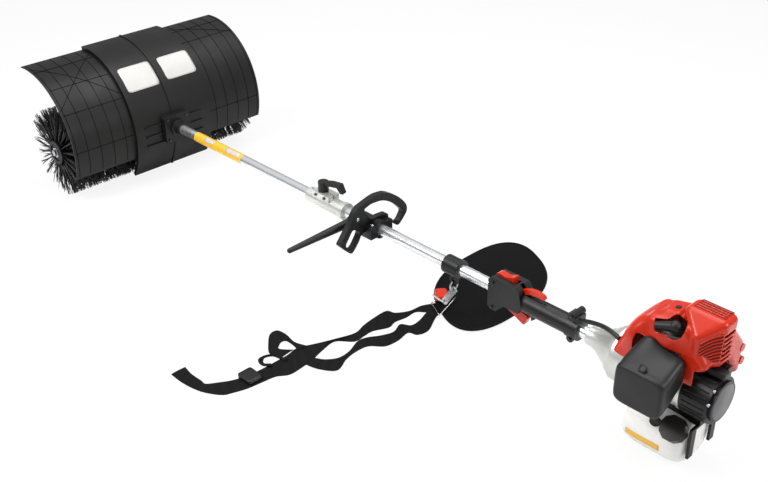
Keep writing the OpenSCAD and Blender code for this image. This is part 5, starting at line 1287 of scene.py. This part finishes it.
    def starter(self) -> None:
        """The grey blank disc of the starter, two bright bolts beside it and the ribs around its housing."""
        turn = np.linspace(0, 2 * np.pi, 72, endpoint=False)
        r = np.array([self.disc_r, self.disc_r, self.disc_r - 1.2, 0.6])[:, None]
        x = self.starter_x + np.array([-0.6, 0.4, 1.0, 1.6])[:, None]
        disc = capped_piece("starter_disc", at(x, r * np.cos(turn), self.boom_z + r * np.sin(turn)))
        dressed(disc, DISC_PLASTIC, "charcoal_plastic")
        bolts = [[(x, y, z) for x in self.bolt_x] for y, z in self.bolts]
        dressed(rods("starter_bolts", bolts, self.bolt_r, 6), PLATED_STEEL, "steel")
        ribs = rods("starter_ribs", [
            [(x, self.rib_at * math.cos(a), self.boom_z + self.rib_at * math.sin(a)) for x in self.rib_x]
            for a in np.radians(np.arange(*self.rib_angles))], self.rib_r, 8)
        dressed(ribs, GRIP_PLASTIC, "guard_plastic")

    def rope(self) -> None:
        """The starter rope, which stretches between the machine and the pulled grip."""
        path = at(self.rope_at[0], np.linspace(*self.rope_y, 24), self.rope_at[1])
        rope = joined("starter_rope", [tube_parts(path, self.rope_r * MM, 10, (0.0, 0.0, 1.0))])
        rope.data.materials.append(ROPE_FIBRE.material())
        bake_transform(rope)


@dataclass
class Studio:
    """The pale floor, the soft lights and the camera of the photo."""

    eye: tuple[float, float, float] = (2459.271, -1413.282, 1329.552)
    azimuth: float = 46.252
    rise: float = 30.413
    roll: float = -0.672
    lens: float = 48.44
    fill: float = 0.3
    band_rise: tuple[float, float] = (0.15, 0.75)
    band_light: tuple[float, float] = (0.34, 0.85)
    floor_reach: float = 40000.0
    floor_glow: float = 0.88
    sensor: float = 36.0
    clip_end: float = 120.0
    lamps: tuple = (
        ("key_softbox", (200, -1700, 2300), 1.3, 66.0, (900, 0, 100)),
        ("top_softbox", (900, 500, 2500), 2.2, 58.0, (900, 0, 0)),
        ("side_softbox", (3300, 700, 1300), 1.0, 24.0, (1500, 0, 150)))

    def build(self) -> None:
        """Sets the world, the floor, the lights and the camera."""
        self.world()
        self.floor()
        for lamp in self.lamps:
            self.light(*lamp)
        self.camera()

    def world(self) -> None:
        """A white surround for the eye, an even soft fill, and mirrored light that grows upwards."""
        world = bpy.data.worlds.new("studio_surround")
        bpy.context.scene.world = world
        world.use_nodes = True
        tree = world.node_tree
        rays = add_node(tree, "ShaderNodeLightPath").outputs
        heading = add_node(tree, "ShaderNodeTexCoord").outputs["Generated"]
        rise = add_node(tree, "ShaderNodeSeparateXYZ", inputs={0: heading}).outputs["Z"]
        mirrored = add_node(tree, "ShaderNodeMapRange", inputs={
            "Value": rise, "From Min": self.band_rise[0], "From Max": self.band_rise[1],
            "To Min": self.band_light[0], "To Max": self.band_light[1]}).outputs["Result"]
        fill = add_node(tree, "ShaderNodeMix", {"data_type": "FLOAT"}, {
            0: rays["Is Glossy Ray"], 2: self.fill, 3: mirrored}).outputs[0]
        strength = add_node(tree, "ShaderNodeMath", {"operation": "MAXIMUM"}, {
            0: fill, 1: rays["Is Camera Ray"]}).outputs[0]
        set_inputs(tree, tree.nodes["Background"], {"Strength": strength, "Color": (1.0, 1.0, 1.0, 1.0)})

    def floor(self) -> None:
        """A wide white floor that keeps a soft shadow and mostly glows white to the camera."""
        corners = self.floor_reach * np.array([[-1, -1, 0], [1, -1, 0], [1, 1, 0], [-1, 1, 0]])
        floor = put_mesh("studio_floor", metres(corners), np.array([[0, 1, 2, 3]]))
        material = bpy.data.materials.new("white_studio_paper")
        material.use_nodes = True
        tree = material.node_tree
        shader = tree.nodes["Principled BSDF"]
        set_inputs(tree, shader, {
            "Base Color": linear("#f4f4f4"), "Roughness": 0.9, "Specular IOR Level": 0.1})
        glow = add_node(tree, "ShaderNodeEmission", inputs={
            "Color": (1, 1, 1, 1), "Strength": 1.0}).outputs[0]
        seen = add_node(tree, "ShaderNodeLightPath").outputs["Is Camera Ray"]
        share = add_node(tree, "ShaderNodeMath", {"operation": "MULTIPLY"}, {
            0: seen, 1: self.floor_glow}).outputs[0]
        mixed = add_node(tree, "ShaderNodeMixShader", inputs={
            0: share, 1: shader.outputs[0], 2: glow}).outputs[0]
        set_inputs(tree, tree.nodes["Material Output"], {"Surface": mixed})
        floor.data.materials.append(material)

    def light(self, name: str, place: Sequence, size: float, power: float, aim: Sequence) -> None:
        """A square soft light.

        Args:
            name: Its name.
            place: Its place in millimetres from the brush axis.
            size: Its side in metres.
            power: Its power in watts.
            aim: The place that it faces.
        """
        lamp = bpy.data.lights.new(name, "AREA")
        lamp.size = size
        lamp.energy = power
        start, end = Vector(metres(place)), Vector(metres(aim))
        heading = (end - start).to_track_quat("-Z", "Y").to_matrix().to_4x4()
        placed(lamp).matrix_world = Matrix.Translation(start) @ heading

    def camera(self) -> None:
        """The photo's camera: place, heading, rise and roll found from measured points of the object."""
        turn, rise, roll = (math.radians(v) for v in (self.azimuth, self.rise, self.roll))
        back = Vector((math.sin(turn) * math.cos(rise), -math.cos(turn) * math.cos(rise), math.sin(rise)))
        right = (-back).cross(Vector((0, 0, 1))).normalized()
        up = right.cross(-back)
        side = right * math.cos(roll) + up * math.sin(roll)
        head = up * math.cos(roll) - right * math.sin(roll)
        lens = bpy.data.cameras.new("photo_camera")
        lens.lens = self.lens
        lens.sensor_width = self.sensor
        lens.sensor_fit = "HORIZONTAL"
        lens.clip_end = self.clip_end
        holder = placed(lens)
        eye = metres(self.eye)
        holder.matrix_world = Matrix([[side[i], head[i], back[i], eye[i]] for i in range(3)] + [[0, 0, 0, 1]])
        bpy.context.scene.camera = holder


def visual_box() -> tuple[list, list]:
    """The box around every piece that shows, without the studio.

    Returns:
        The low and the high corner in metres.
    """
    bpy.context.view_layer.update()
    seen = [o for o in bpy.context.scene.objects if o.type == "MESH" and o.name != "studio_floor"]
    corners = np.array([o.matrix_world @ Vector(c) for o in seen for c in o.bound_box])
    return corners.min(axis=0).tolist(), corners.max(axis=0).tolist()


def finish_solids() -> None:
    """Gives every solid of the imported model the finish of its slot."""
    own = {"harness_webbing": WEBBING_CLOTH, "muffler": SILENCER_STEEL, "barrier_bar": GRIP_PLASTIC,
           "loop_handle": GRIP_PLASTIC, "throttle_conduit": RUBBER, "machine_screws": BLACK_STEEL}
    for node, solid in frame["nodes"].items():
        solid.data.materials.clear()
        solid.data.materials.append(own.get(node, SLOT_FINISH[SLOT_OF[node]]).material())


def main() -> None:
    """Builds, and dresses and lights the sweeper."""
    logging.basicConfig(level=logging.INFO, format="%(name)s: %(message)s")
    finish_solids()
    for assembly in (BrushHead(), Boom(), Harness(), Engine()):
        assembly.build()
        assembly.dress()
        LOG.info("%s built", type(assembly).__name__)
    Studio().build()
    bpy.context.scene.view_settings.view_transform = "Standard"
    low, high = visual_box()
    LOG.info("visual box %s to %s", low, high)


if __name__ == "__main__":
    main()
